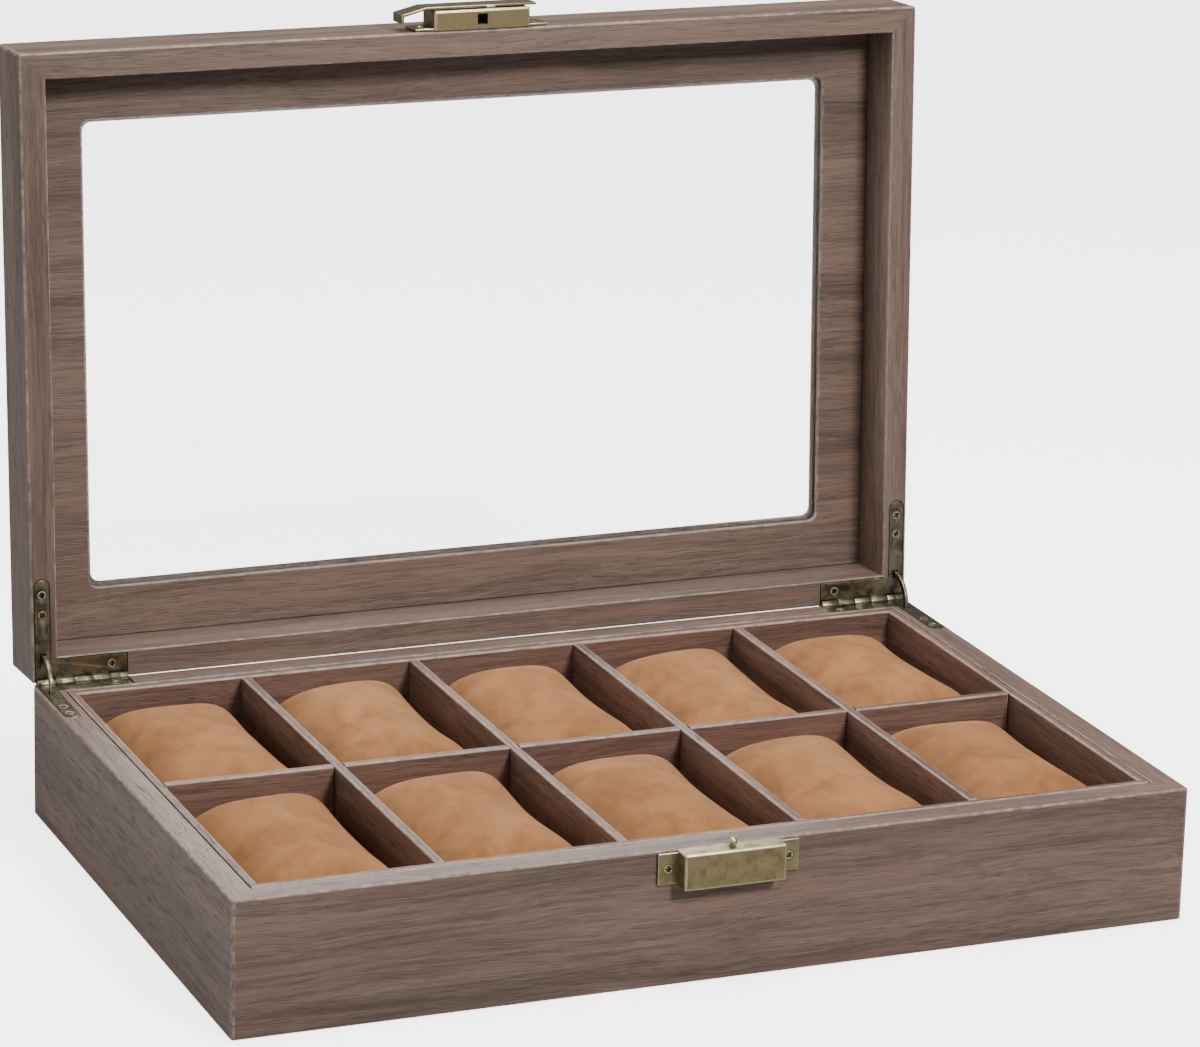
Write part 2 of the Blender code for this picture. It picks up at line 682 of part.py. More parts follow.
def make_pillows():
    """Ten pillows, each nearer the left of its compartment, numbered from the back left."""
    mesh = pillow_mesh()
    fit_pillow(mesh)
    mesh.materials.append(SUEDE)
    number = 0
    for row in (1, -1):
        for column in range(COLUMNS):
            number += 1
            left = -INNER_WIDTH / 2 + column * (CELL_WIDTH + DIVIDER)
            x = left + PILLOW_WIDTH / 2 + 2 * GAP
            y = row * (DIVIDER + CELL_DEPTH) / 2
            pillow = bpy.data.objects.new(f"pillow_{number:02d}", mesh)
            pillow.location = (x, y, FLOOR_TOP + GAP)
            PARTS.objects.link(pillow)
            soften(pillow)


BASE_WALLS = make_casing()
make_tray()
LID_WALLS = make_lid()
make_hinges(BASE_WALLS, LID_WALLS)
make_latch(BASE_WALLS, LID_WALLS)
make_pillows()
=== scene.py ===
"""The looks of a ten-compartment watch box, built round its solids. Metres, +Z up, front towards -Y."""

import json
import logging
import math
from dataclasses import dataclass, field
from enum import Enum

import bmesh
import bpy
import numpy as np
from mathutils import Matrix, Vector


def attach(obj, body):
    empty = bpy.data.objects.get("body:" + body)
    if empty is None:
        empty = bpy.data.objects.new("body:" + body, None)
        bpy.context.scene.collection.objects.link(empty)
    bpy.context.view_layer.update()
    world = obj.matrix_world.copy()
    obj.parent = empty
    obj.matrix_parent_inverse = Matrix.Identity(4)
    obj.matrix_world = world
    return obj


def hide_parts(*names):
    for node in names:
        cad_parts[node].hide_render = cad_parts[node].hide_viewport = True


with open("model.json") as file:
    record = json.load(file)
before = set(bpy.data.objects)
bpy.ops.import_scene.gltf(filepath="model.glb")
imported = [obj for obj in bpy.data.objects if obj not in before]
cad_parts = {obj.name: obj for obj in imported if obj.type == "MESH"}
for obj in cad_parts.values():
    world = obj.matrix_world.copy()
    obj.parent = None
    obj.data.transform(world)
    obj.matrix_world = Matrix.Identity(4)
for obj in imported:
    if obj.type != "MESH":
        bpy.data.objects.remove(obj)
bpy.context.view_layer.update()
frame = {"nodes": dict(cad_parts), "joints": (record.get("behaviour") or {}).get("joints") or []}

LOG = logging.getLogger("watch_box")
MM = 0.001
STRAIGHT = 0.9995  # a unit normal with a part this large lies along an axis
WINDOW_CORNER = 3.0 * MM
CORNER_STEPS = 6
Colour = tuple[float, float, float]


# ------------------------------------------------------------------ arrays


def vectors(elements: bpy.types.bpy_prop_collection, key: str) -> np.ndarray:
    """A vector that each point or face of a mesh has.

    Args:
        elements: The mesh's vertices or polygons.
        key: The vector's name there.

    Returns:
        The vectors, one a row.
    """
    values = np.empty(len(elements) * 3, np.float32)
    elements.foreach_get(key, values)
    return values.reshape(-1, 3).astype(float)


def points_of(mesh: bpy.types.Mesh) -> np.ndarray:
    """A mesh's points, one a row."""
    return vectors(mesh.vertices, "co")


def put_points(mesh: bpy.types.Mesh, points: np.ndarray) -> None:
    """Move a mesh's points.

    Args:
        mesh: The mesh.
        points: Where they go, one a row.
    """
    mesh.vertices.foreach_set("co", points.astype(np.float32).ravel())
    mesh.update()


def ends(points: np.ndarray) -> tuple[np.ndarray, np.ndarray]:
    """The lowest and highest corners of the box round some points."""
    return points.min(0), points.max(0)


# ------------------------------------------------------------------ places


class Half(Enum):
    """The two halves of the box, by the body that each rides on."""

    BASE = "base"
    LID = "lid"


class Side(Enum):
    """A side of the box, with the turn that carries the front's frame there."""

    FRONT = 0
    RIGHT = 90
    BACK = 180
    LEFT = 270

    @property
    def word(self) -> str:
        """The side's name as the nodes spell it."""
        return self.name.lower()

    @property
    def turn(self) -> np.ndarray:
        """The 3 by 3 turn about Z that carries the front's frame to this side."""
        angle = math.radians(self.value)
        c, s = math.cos(angle), math.sin(angle)
        return np.array([[c, -s, 0.0], [s, c, 0.0], [0.0, 0.0, 1.0]])


class Hand(Enum):
    """Left and right, as a sign along X."""

    LEFT = -1
    RIGHT = 1

    @property
    def word(self) -> str:
        """The hand's name as the nodes spell it."""
        return self.name.lower()


@dataclass(frozen=True)
class Swing:
    """The turn about the hinge axis between the shut lid and the lid as it stands open."""

    pivot: np.ndarray
    angle: float

    @classmethod
    def of_lid(cls) -> "Swing":
        """Read the lid's hinge from the frame.

        Returns:
            The swing whose angle is the lid's whole range, about X.
        """
        joint = next(j for j in frame["joints"] if j["name"] == "lid_hinge")
        return cls(np.array(joint["pos_m"], float), math.radians(joint["range_deg"][0]))

    def _turned(self, points: np.ndarray, angle: float) -> np.ndarray:
        """Points turned about the axis: y and z mix by the cosine and sine of the angle."""
        c, s = math.cos(angle), math.sin(angle)
        turn = np.array([[1.0, 0.0, 0.0], [0.0, c, -s], [0.0, s, c]])
        return (points - self.pivot) @ turn.T + self.pivot

    def opened(self, points: np.ndarray, half: Half) -> np.ndarray:
        """Points given with the lid shut, as they lie with it open; the base's stay put."""
        return self._turned(points, self.angle) if half is Half.LID else points

    def shut(self, points: np.ndarray, half: Half) -> np.ndarray:
        """The way back of opened."""
        return self._turned(points, -self.angle) if half is Half.LID else points


SWING = Swing.of_lid()


def node_points(node: str, half: Half = Half.BASE) -> np.ndarray:
    """The corners of a node's mesh, with the lid shut.

    Args:
        node: The node's name.
        half: The half of the box that it belongs to.

    Returns:
        An array of points, one a row.
    """
    return SWING.shut(points_of(frame["nodes"][node].data), half)


def node_box(node: str, half: Half = Half.BASE) -> tuple[np.ndarray, np.ndarray]:
    """A node's lowest and highest corners with the lid shut.

    Args:
        node: The node's name.
        half: The half of the box that it belongs to.

    Returns:
        The two corners.
    """
    return ends(node_points(node, half))


# ------------------------------------------------------------------ meshes


@dataclass
class Shell:
    """One or more closed surfaces gathered as points and faces.

    Args:
        points: The corners, one a row.
        faces: Lists of corner numbers, turning anticlockwise seen from outside.
    """

    points: np.ndarray = field(default_factory=lambda: np.empty((0, 3)))
    faces: list[list[int]] = field(default_factory=list)

    def plus(self, other: "Shell") -> "Shell":
        """This shell with another beside it."""
        start = len(self.points)
        moved = [[i + start for i in face] for face in other.faces]
        return Shell(np.vstack([self.points, other.points]), self.faces + moved)

    def at(self, turn: np.ndarray, shift: np.ndarray) -> "Shell":
        """The shell turned by a 3 by 3 matrix and then shifted."""
        return Shell(self.points @ turn.T + shift, self.faces)

    def mesh(self, name: str) -> bpy.types.Mesh:
        """A Blender mesh of the shell, with doubles merged and its faces pointing out."""
        made = bpy.data.meshes.new(name)
        made.from_pydata(self.points.tolist(), [], self.faces)
        shape = bmesh.new()
        shape.from_mesh(made)
        bmesh.ops.remove_doubles(shape, verts=shape.verts, dist=MM / 1000)
        bmesh.ops.recalc_face_normals(shape, faces=shape.faces)
        shape.to_mesh(made)
        shape.free()
        return made


def grid_faces(rows: int, columns: int, wrap_rows: bool, wrap_columns: bool) -> list[list[int]]:
    """The quads of a grid of points numbered row by row.

    Args:
        rows: How many rows of points there are.
        columns: How many points a row has.
        wrap_rows: Whether the last row joins the first.
        wrap_columns: Whether a row's last point joins its first.

    Returns:
        One list of four corner numbers for each quad.
    """
    r = np.arange(rows if wrap_rows else rows - 1)[:, None]
    c = np.arange(columns if wrap_columns else columns - 1)[None, :]
    r2, c2 = (r + 1) % rows, (c + 1) % columns
    quads = np.stack([r * columns + c, r * columns + c2, r2 * columns + c2, r2 * columns + c], -1)
    return quads.reshape(-1, 4).tolist()


def grid_shell(points: np.ndarray, wrap_rows: bool, wrap_columns: bool, caps: bool = False) -> Shell:
    """A surface from a rows by columns grid of points.

    Args:
        points: The grid, as rows, columns and the three coordinates.
        wrap_rows: Whether the last row joins the first.
        wrap_columns: Whether a row's last point joins its first.
        caps: Whether the first and last rows are filled with a face each.

    Returns:
        The surface as a shell.
    """
    rows, columns = points.shape[:2]
    faces = grid_faces(rows, columns, wrap_rows, wrap_columns)
    if caps:
        faces.append(list(range(columns))[::-1])
        faces.append([(rows - 1) * columns + i for i in range(columns)])
    return Shell(points.reshape(-1, 3), faces)


def arc(centre: tuple[float, float], radius: float, start: float, end: float, steps: int) -> np.ndarray:
    """Points on a round arc: the centre plus the radius times the cosine and sine of the angle.

    Args:
        centre: The arc's centre.
        radius: Its radius.
        start: The first angle, in degrees.
        end: The last angle, in degrees.
        steps: How many equal steps lie between them.

    Returns:
        The points, one a row.
    """
    angle = np.radians(np.linspace(start, end, steps + 1))
    return np.column_stack([np.cos(angle), np.sin(angle)]) * radius + np.array(centre)


def rounded_rectangle(low: np.ndarray, high: np.ndarray, radii: tuple[float, ...], steps: int) -> np.ndarray:
    """A rectangle's outline, anticlockwise from the lower left, each corner a quarter circle.

    Args:
        low: The lower left corner.
        high: The upper right corner.
        radii: The four corner radii: lower left, lower right, upper right, upper left.
        steps: The steps in each quarter circle.

    Returns:
        The outline's points, one a row.
    """
    corners = ((low[0], low[1]), (high[0], low[1]), (high[0], high[1]), (low[0], high[1]))
    inward = ((1, 1), (-1, 1), (-1, -1), (1, -1))
    parts = [
        arc((x + sx * r, y + sy * r), r, 180.0 + 90.0 * i, 270.0 + 90.0 * i, steps)
        for i, ((x, y), (sx, sy), r) in enumerate(zip(corners, inward, radii))
    ]
    return np.vstack(parts)


def rounded_box(low: np.ndarray, high: np.ndarray, radius: float, steps: int = 3) -> Shell:
    """A box with round edges and corners.

    A direction on each face of a cube, from -45 to 45 degrees both ways, is made one long. The
    surface is the corner of a smaller inner box on that direction's side plus the radius times
    the direction.

    Args:
        low: The lowest corner.
        high: The highest corner.
        radius: The radius of the edges.
        steps: The steps in half a quarter circle.

    Returns:
        The closed surface.
    """
    centre, inner = (low + high) / 2, (high - low) / 2 - radius
    angle = np.radians(np.linspace(-45.0, 0.0, steps + 1))
    angle = np.concatenate([angle, -angle[::-1]])
    sign = np.repeat([-1.0, 1.0], steps + 1)
    a, b = np.meshgrid(angle, angle, indexing="ij")
    sa, sb = np.meshgrid(sign, sign, indexing="ij")
    shell = Shell()
    for axis in range(3):
        for way in (-1.0, 1.0):
            unit = np.stack([np.full_like(a, way), np.tan(a), np.tan(b)], -1)
            unit /= np.linalg.norm(unit, axis=-1, keepdims=True)
            place = np.stack([np.full_like(a, way), sa, sb], -1)
            unit, place = np.roll(unit, axis, -1), np.roll(place, axis, -1)
            points = centre + place * inner + unit * radius
            shell = shell.plus(grid_shell(points, False, False))
    return shell


@dataclass(frozen=True)
class MitredBoard:
    """A board of a frame, as it lies at the front: its outer face towards -Y, its ends mitred.

    A closed profile of inset and height is carried along the board. Near each end the stretches
    nearer the outside than the corner's radius turn through 45 degrees about the corner's centre,
    and the rest run straight to the mitre.

    Args:
        half_length: Half the outer length.
        reach: How far the outer face lies in front of the middle.
        thickness: From outer to inner face.
        low: The height of its underside.
        high: The height of its top.
        edges: The radii of the outer lower, inner lower, inner upper and outer upper edges.
        corner: The radius of the frame's upright corners.
    """

    half_length: float
    reach: float
    thickness: float
    low: float
    high: float
    edges: tuple[float, float, float, float]
    corner: float

    def shell(self, steps: int = 4) -> Shell:
        """The board's closed surface, with that many steps in each round edge."""
        low, high = np.array([0.0, self.low]), np.array([self.thickness, self.high])
        profile = rounded_rectangle(low, high, self.edges, steps)
        inset, height = profile[:, 0], profile[:, 1]
        angle = np.radians(np.linspace(0.0, 45.0, steps + 1))[:, None]
        ring = np.maximum(self.corner - inset, 0.0)[None, :]
        turning = (inset < self.corner)[None, :]
        lead = self.corner / 4 * (1.0 - angle / angle[-1])
        along = np.where(turning, self.corner - ring * np.sin(angle), inset[None, :] + lead)
        across = np.where(turning, self.corner - ring * np.cos(angle), inset[None, :])
        x = np.vstack([along[::-1] - self.half_length, self.half_length - along])
        y = np.vstack([across[::-1], across]) - self.reach
        z = np.broadcast_to(height, x.shape)
        return grid_shell(np.stack([x, y, z], -1), False, True, caps=True)


def ring_round(path: np.ndarray, outward: np.ndarray, profile: np.ndarray) -> np.ndarray:
    """A profile of offset and height carried round a flat closed path.

    Each point is the path's point plus the offset times the path's outward direction there, at
    the profile's height.

    Args:
        path: The path's points in plan, one a row.
        outward: The outward direction at each.
        profile: Rows of offset and height.

    Returns:
        The grid of points, one row for each point of the path.
    """
    plan = path[:, None, :] + outward[:, None, :] * profile[None, :, :1]
    height = np.broadcast_to(profile[None, :, 1:], (*plan.shape[:2], 1))
    return np.concatenate([plan, height], -1)


def round_corner_path(half: np.ndarray, radius: float, steps: int) -> tuple[np.ndarray, np.ndarray]:
    """A rectangle about the middle with round corners, and its outward direction at each point.

    Args:
        half: Half its width and depth.
        radius: The corner radius.
        steps: The steps in each corner.

    Returns:
        The points and the directions, one a row.
    """
    outline = rounded_rectangle(-half, half, (radius,) * 4, steps)
    angle = np.radians(np.concatenate([np.linspace(180, 270, steps + 1) + 90 * i for i in range(4)]))
    return outline, np.column_stack([np.cos(angle), np.sin(angle)])


def turned(profile: np.ndarray, around: int) -> Shell:
    """A shape turned about Z: each radius times the cosine and sine of the angle, at its height.

    Args:
        profile: Rows of radius and height from the top of the axis down to its foot.
        around: How many points a full turn has.

    Returns:
        The closed surface.
    """
    angle = np.linspace(0.0, 2 * np.pi, around, endpoint=False)[None, :]
    radius, height = profile[:, :1], profile[:, 1:]
    grid = np.stack([radius * np.cos(angle), radius * np.sin(angle), height + 0 * angle], -1)
    return grid_shell(grid, False, True, caps=True)


def merged_copy(node: str, half: Half) -> bpy.types.Mesh:
    """A copy of a node's mesh with its loose triangles joined, with the lid shut."""
    mesh = frame["nodes"][node].data.copy()
    put_points(mesh, node_points(node, half))
    shape = bmesh.new()
    shape.from_mesh(mesh)
    bmesh.ops.remove_doubles(shape, verts=shape.verts, dist=MM / 200)
    bmesh.ops.dissolve_limit(
        shape, angle_limit=math.radians(0.5), verts=shape.verts, edges=shape.edges
    )
    shape.to_mesh(mesh)
    shape.free()
    mesh.materials.clear()
    return mesh


def with_modifiers(mesh: bpy.types.Mesh, *settings: dict[str, object]) -> bpy.types.Mesh:
    """A mesh after modifiers, applied.

    Args:
        mesh: The mesh they start from.
        settings: For each modifier, its kind and what is set on it.

    Returns:
        The resulting mesh.
    """
    carrier = bpy.data.objects.new("carrier", mesh)
    bpy.context.scene.collection.objects.link(carrier)
    for number, setting in enumerate(settings):
        values = dict(setting)
        modifier = carrier.modifiers.new(f"step_{number}", values.pop("kind"))
        for key, value in values.items():
            setattr(modifier, key, value)
    graph = bpy.context.evaluated_depsgraph_get()
    made = bpy.data.meshes.new_from_object(carrier.evaluated_get(graph))
    bpy.data.objects.remove(carrier)
    return made


def combined(first: bpy.types.Mesh, operation: str, second: bpy.types.Mesh) -> bpy.types.Mesh:
    """Two closed meshes put together by an exact INTERSECT, UNION or DIFFERENCE."""
    other = bpy.data.objects.new("other", second)
    bpy.context.scene.collection.objects.link(other)
    made = with_modifiers(
        first, {"kind": "BOOLEAN", "operation": operation, "object": other, "solver": "EXACT"}
    )
    bpy.data.objects.remove(other)
    return made


class Attribute(Enum):
    """The attributes that the finishes read."""

    GRAIN = "grain_place"
    EDGE = "edge_share"


def write_edge(mesh: bpy.types.Mesh, share: np.ndarray) -> None:
    """Store how far each face is an edge that gets the scuffed colour and a painted highlight, from 0 to 1.
    """
    layer = mesh.attributes.new(Attribute.EDGE.value, "FLOAT", "FACE")
    layer.data.foreach_set("value", share.astype(np.float32))


def write_grain(mesh: bpy.types.Mesh, places: np.ndarray) -> None:
    """Store where each point lies in its board's timber: along, across and through the grain."""
    layer = mesh.attributes.new(Attribute.GRAIN.value, "FLOAT_VECTOR", "POINT")
    layer.data.foreach_set("vector", places.astype(np.float32).ravel())


def shade(mesh: bpy.types.Mesh, flat: np.ndarray | None = None, sharp: float = 38.0) -> None:
    """Smooth shading, but for flat faces and for edges sharper than an angle in degrees."""
    mesh.shade_smooth()
    mesh.set_sharp_from_angle(angle=math.radians(sharp))
    if flat is not None:
        mesh.polygons.foreach_set("use_smooth", ~flat)


def finished_piece(
    name: str,
    mesh: bpy.types.Mesh,
    material: bpy.types.Material,
    body: str,
    nodes: tuple[str, ...],
) -> bpy.types.Object:
    """Put a finished mesh in the scene, on its body, in place of its nodes.

    Args:
        name: The piece's name.
        mesh: Its mesh, where it lies at rest.
        material: Its finish.
        body: The body that it rides on.
        nodes: The nodes that it stands for.

    Returns:
        The piece's object.
    """
    mesh.name = name
    mesh.materials.clear()
    mesh.materials.append(material)
    piece = bpy.data.objects.new(name, mesh)
    bpy.context.scene.collection.objects.link(piece)
    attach(piece, body)
    if nodes:
        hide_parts(*nodes)
    LOG.info("%s: %d faces on %s", name, len(mesh.polygons), body)
    return piece


def open_mesh(mesh: bpy.types.Mesh, half: Half) -> bpy.types.Mesh:
    """Carry a mesh made with the lid shut to where it lies with the lid open."""
    if half is Half.LID:
        put_points(mesh, SWING.opened(points_of(mesh), half))
    return mesh


# ------------------------------------------------------------------ shader helpers


class Graph:
    """Adds shader nodes to a tree and links them."""

    def __init__(self, tree: bpy.types.NodeTree) -> None:
        """Keep the tree that nodes are added to."""
        self.tree = tree

    def put(self, socket: bpy.types.NodeSocket, value: object) -> None:
        """Link a socket to another's output, or set its value."""
        if isinstance(value, bpy.types.NodeSocket):
            self.tree.links.new(value, socket)
        else:
            socket.default_value = value

    def node(self, kind: str, inputs: dict | None = None, **settings: object) -> bpy.types.Node:
        """Add a node.

        Args:
            kind: Its type, without the leading ShaderNode.
            inputs: Values or outputs for its sockets, by name or number.
            settings: What is set on the node itself.

        Returns:
            The node.
        """
        made = self.tree.nodes.new(f"ShaderNode{kind}")
        for key, value in settings.items():
            setattr(made, key, value)
        for key, value in (inputs or {}).items():
            self.put(made.inputs[key], value)
        return made

    def attribute(self, which: Attribute, output: str) -> bpy.types.NodeSocket:
        """One of the pieces' own attributes."""
        return self.node("Attribute", attribute_name=which.value).outputs[output]

    def stretched(self, vector: object, scale: tuple[float, float, float]) -> bpy.types.NodeSocket:
        """A vector times a scale in each direction."""
        made = self.node("VectorMath", {0: vector, 1: scale}, operation="MULTIPLY")
        return made.outputs[0]

    def noise(
        self, vector: object, scale: object, detail: float = 2.0, rough: float = 0.5, warp: float = 0.0
    ) -> bpy.types.NodeSocket:
        """A noise value from 0 to 1.

        Args:
            vector: Where it is read.
            scale: Its scale.
            detail: Its octaves.
            rough: How strong the fine octaves are.
            warp: How far it is distorted.

        Returns:
            The value's output.
        """
        values = {
            "Vector": vector, "Scale": scale, "Detail": detail, "Roughness": rough, "Distortion": warp
        }
        return self.node("TexNoise", values).outputs["Fac"]

    def math(self, operation: str, *values: object, clamp: bool = False) -> bpy.types.NodeSocket:
        """A sum or other operation on numbers."""
        inputs = dict(enumerate(values))
        return self.node("Math", inputs, operation=operation, use_clamp=clamp).outputs[0]

    def ranged(
        self, value: object, low: float, high: float, to_low: float = 0.0, to_high: float = 1.0
    ) -> bpy.types.NodeSocket:
        """A value carried smoothly from one range to another, and held at its ends."""
        inputs = {"Value": value, "From Min": low, "From Max": high, "To Min": to_low, "To Max": to_high}
        made = self.node("MapRange", inputs, interpolation_type="SMOOTHSTEP")
        return made.outputs["Result"]

    def mixed(self, share: object, first: object, second: object, blend: str = "MIX") -> bpy.types.NodeSocket:
        """Two colours mixed by a share."""
        made = self.node("Mix", data_type="RGBA", blend_type=blend)
        self.put(made.inputs["Factor"], share)
        self.put(made.inputs[6], first)
        self.put(made.inputs[7], second)
        return made.outputs[2]

    def bump(self, height: object, strength: float, distance: float) -> bpy.types.NodeSocket:
        """A normal bent by a height."""
        values = {"Strength": strength, "Distance": distance, "Height": height}
        return self.node("Bump", values).outputs["Normal"]

    def group(self, group: bpy.types.NodeTree, **inputs: object) -> bpy.types.Node:
        """Place a node group, with underscores for the spaces in its inputs' names."""
        named = {key.replace("_", " "): value for key, value in inputs.items()}
        made = self.node("Group", node_tree=group)
        for key, value in named.items():
            self.put(made.inputs[key], value)
        return made


class Effect:
    """A shader node group that several finishes share."""

    def __init__(self, name: str, inputs: dict[str, object], outputs: tuple[str, ...]) -> None:
        """Make an empty group.

        Args:
            name: The group's name.
            inputs: Default values by input name: a number, a colour of four or a vector of three.
            outputs: The names of the outputs; one whose name ends in Colour is a colour.
        """
        self.tree = bpy.data.node_groups.new(name, "ShaderNodeTree")
        for key, value in inputs.items():
            kind = "NodeSocketFloat"
            if isinstance(value, tuple):
                kind = "NodeSocketColor" if len(value) == 4 else "NodeSocketVector"
            made = self.tree.interface.new_socket(name=key, in_out="INPUT", socket_type=kind)
            made.default_value = value
        for key in outputs:
            kind = "NodeSocketColor" if key.endswith("Colour") else "NodeSocketFloat"
            self.tree.interface.new_socket(name=key, in_out="OUTPUT", socket_type=kind)
        self.graph = Graph(self.tree)
        self.given = self.graph.tree.nodes.new("NodeGroupInput").outputs
        self.result = self.graph.tree.nodes.new("NodeGroupOutput").inputs

    def give(self, **outputs: object) -> bpy.types.NodeTree:
        """Link the group's outputs.

        Args:
            outputs: What each output gives, with underscores for spaces.

        Returns:
            The finished group.
        """
        for key, value in outputs.items():
            self.graph.put(self.result[key.replace("_", " ")], value)
        return self.tree


def opaque(colour: Colour) -> tuple[float, float, float, float]:
    """A colour with full alpha."""
    return (*colour, 1.0)


def timber_effect() -> bpy.types.NodeTree:
    """Walnut figure: broad bands, reddish streaks, fine fibres and dark pores along the grain.

    Returns:
        The group, with a colour, a height and a pore mask.
    """
    effect = Effect(
        "timber_figure",
        {
            "Place": (0.0, 0.0, 0.0),
            "Light Colour": (0.3, 0.2, 0.16, 1.0),
            "Dark Colour": (0.06, 0.04, 0.03, 1.0),
            "Streak Colour": (0.24, 0.12, 0.1, 1.0),
            "Streaks": 0.5,
            "Contrast": 1.0,
        },
        ("Figure Colour", "Height", "Pores"),
    )
    g, given = effect.graph, effect.given
    wander = g.noise(g.stretched(given["Place"], (9.0, 30.0, 30.0)), 1.0, 2.0)
    lean = g.math("MULTIPLY", g.math("SUBTRACT", wander, 0.5), 0.012)
    offset = g.node("CombineXYZ", {"Y": lean, "Z": lean}).outputs[0]
    place = g.node("VectorMath", {0: given["Place"], 1: offset}, operation="ADD").outputs[0]
    bands = g.noise(g.stretched(place, (5.0, 95.0, 95.0)), 1.0, 2.0, 0.5)
    lines = g.noise(g.stretched(place, (26.0, 750.0, 750.0)), 1.0, 4.0, 0.62)
    fibres = g.noise(g.stretched(place, (130.0, 3000.0, 3000.0)), 1.0, 2.0, 0.6)
    dashes = g.noise(g.stretched(place, (110.0, 1900.0, 1900.0)), 1.0, 1.0, 0.5)
    pores = g.ranged(dashes, 0.56, 0.70)
    tone = g.math("ADD", g.math("MULTIPLY", bands, 0.7), g.math("MULTIPLY", lines, 0.8))
    tone = g.math("ADD", tone, g.math("MULTIPLY", fibres, 0.5))
    centred = g.math("MULTIPLY", g.math("SUBTRACT", tone, 1.0), given["Contrast"])
    share = g.ranged(g.math("ADD", centred, 0.5), 0.18, 0.86)
    colour = g.mixed(share, given["Dark Colour"], given["Light Colour"])
    streak = g.noise(g.stretched(place, (5.0, 110.0, 110.0)), 1.7, 3.0)
    streak = g.math("MULTIPLY", g.ranged(streak, 0.48, 0.70), given["Streaks"])
    colour = g.mixed(streak, colour, given["Streak Colour"])
    colour = g.mixed(g.math("MULTIPLY", pores, 0.45), colour, given["Dark Colour"])
    height = g.math("SUBTRACT", g.math("MULTIPLY", fibres, 0.5), pores)
    return effect.give(Figure_Colour=colour, Height=height, Pores=pores)


def wear_effect() -> bpy.types.NodeTree:
    """Scuffed edges with a painted highlight on them: the edge faces' share, broken up by noise.

    Returns:
        The group, with a mask.
    """
    inputs = {"Place": (0.0, 0.0, 0.0), "Edge": 0.0, "Amount": 0.5, "Scale": 300.0}
    effect = Effect("rubbed_edges", inputs, ("Mask",))
    g, given = effect.graph, effect.given
    coarse = g.noise(given["Place"], given["Scale"], 4.0, 0.6)
    level = g.math("SUBTRACT", g.math("ADD", coarse, given["Amount"]), 0.5)
    mask = g.math("MULTIPLY", g.ranged(level, 0.1, 0.75), given["Edge"], clamp=True)
    return effect.give(Mask=mask)


def patina_effect() -> bpy.types.NodeTree:
    """Plating that has darkened unevenly, with small specks and fine scratches.

    Returns:
        The group, with a colour, a roughness and a height.
    """
    effect = Effect(
        "patina",
        {
            "Place": (0.0, 0.0, 0.0),
            "Metal Colour": (0.3, 0.25, 0.12, 1.0),
            "Tarnish Colour": (0.08, 0.07, 0.04, 1.0),
            "Tarnish": 0.5,
            "Smooth": 0.25,
            "Dull": 0.5,
        },
        ("Plated Colour", "Roughness", "Height"),
    )
    g, given = effect.graph, effect.given
    clouds = g.noise(given["Place"], 260.0, 4.0, 0.6)
    specks = g.noise(given["Place"], 2100.0, 2.0, 0.6)
    scratches = g.noise(g.stretched(given["Place"], (300.0, 4200.0, 4200.0)), 1.0, 2.0)
    share = g.math("ADD", g.math("MULTIPLY", clouds, 1.3), g.math("MULTIPLY", specks, 0.5))
    share = g.math("ADD", share, g.math("SUBTRACT", given["Tarnish"], 0.9))
    share = g.ranged(share, 0.2, 0.8)
    colour = g.mixed(share, given["Metal Colour"], given["Tarnish Colour"])
    spread = g.math("MULTIPLY", g.math("SUBTRACT", given["Dull"], given["Smooth"]), share)
    rough = g.math("ADD", g.math("ADD", given["Smooth"], spread), g.math("MULTIPLY", scratches, 0.08))
    height = g.math("ADD", g.math("MULTIPLY", specks, 0.6), g.math("MULTIPLY", scratches, 0.4))
    return effect.give(Plated_Colour=colour, Roughness=rough, Height=height)


def nap_effect() -> bpy.types.NodeTree:
    """Brushed suede: soft patches where the nap lies one way or the other, and short fibres.

    Returns:
        The group, with a colour and a height.
    """
    effect = Effect(
        "suede_nap",
        {
            "Place": (0.0, 0.0, 0.0),
            "Light Colour": (0.55, 0.33, 0.18, 1.0),
            "Dark Colour": (0.33, 0.15, 0.06, 1.0),
        },
        ("Nap Colour", "Height"),
    )
    g, given = effect.graph, effect.given
    patches = g.noise(given["Place"], 55.0, 3.0, 0.55, 0.6)
    strokes = g.noise(g.stretched(given["Place"], (260.0, 120.0, 200.0)), 1.0, 3.0, 0.6, 0.4)
    fluff = g.noise(given["Place"], 2600.0, 3.0, 0.7)
    share = g.math("ADD", g.math("MULTIPLY", patches, 0.8), g.math("MULTIPLY", strokes, 0.35))
    share = g.math("ADD", share, g.math("MULTIPLY", fluff, 0.22))
    colour = g.mixed(g.ranged(share, 0.38, 0.98), given["Dark Colour"], given["Light Colour"])
    height = g.math("ADD", g.math("MULTIPLY", fluff, 0.7), g.math("MULTIPLY", strokes, 0.5))
    return effect.give(Nap_Colour=colour, Height=height)


class Effects:
    """The shared groups, each built once."""

    def __init__(self) -> None:
        """Build every group."""
        self.timber = timber_effect()
        self.wear = wear_effect()
        self.patina = patina_effect()
        self.nap = nap_effect()


# ------------------------------------------------------------------ finishes


def new_material(name: str) -> tuple[bpy.types.Material, Graph, bpy.types.Node]:
    """An empty node material.

    Args:
        name: Its name.

    Returns:
        The material, its graph and its Principled shader.
    """
    material = bpy.data.materials.new(name)
    material.use_nodes = True
    graph = Graph(material.node_tree)
    return material, graph, material.node_tree.nodes["Principled BSDF"]


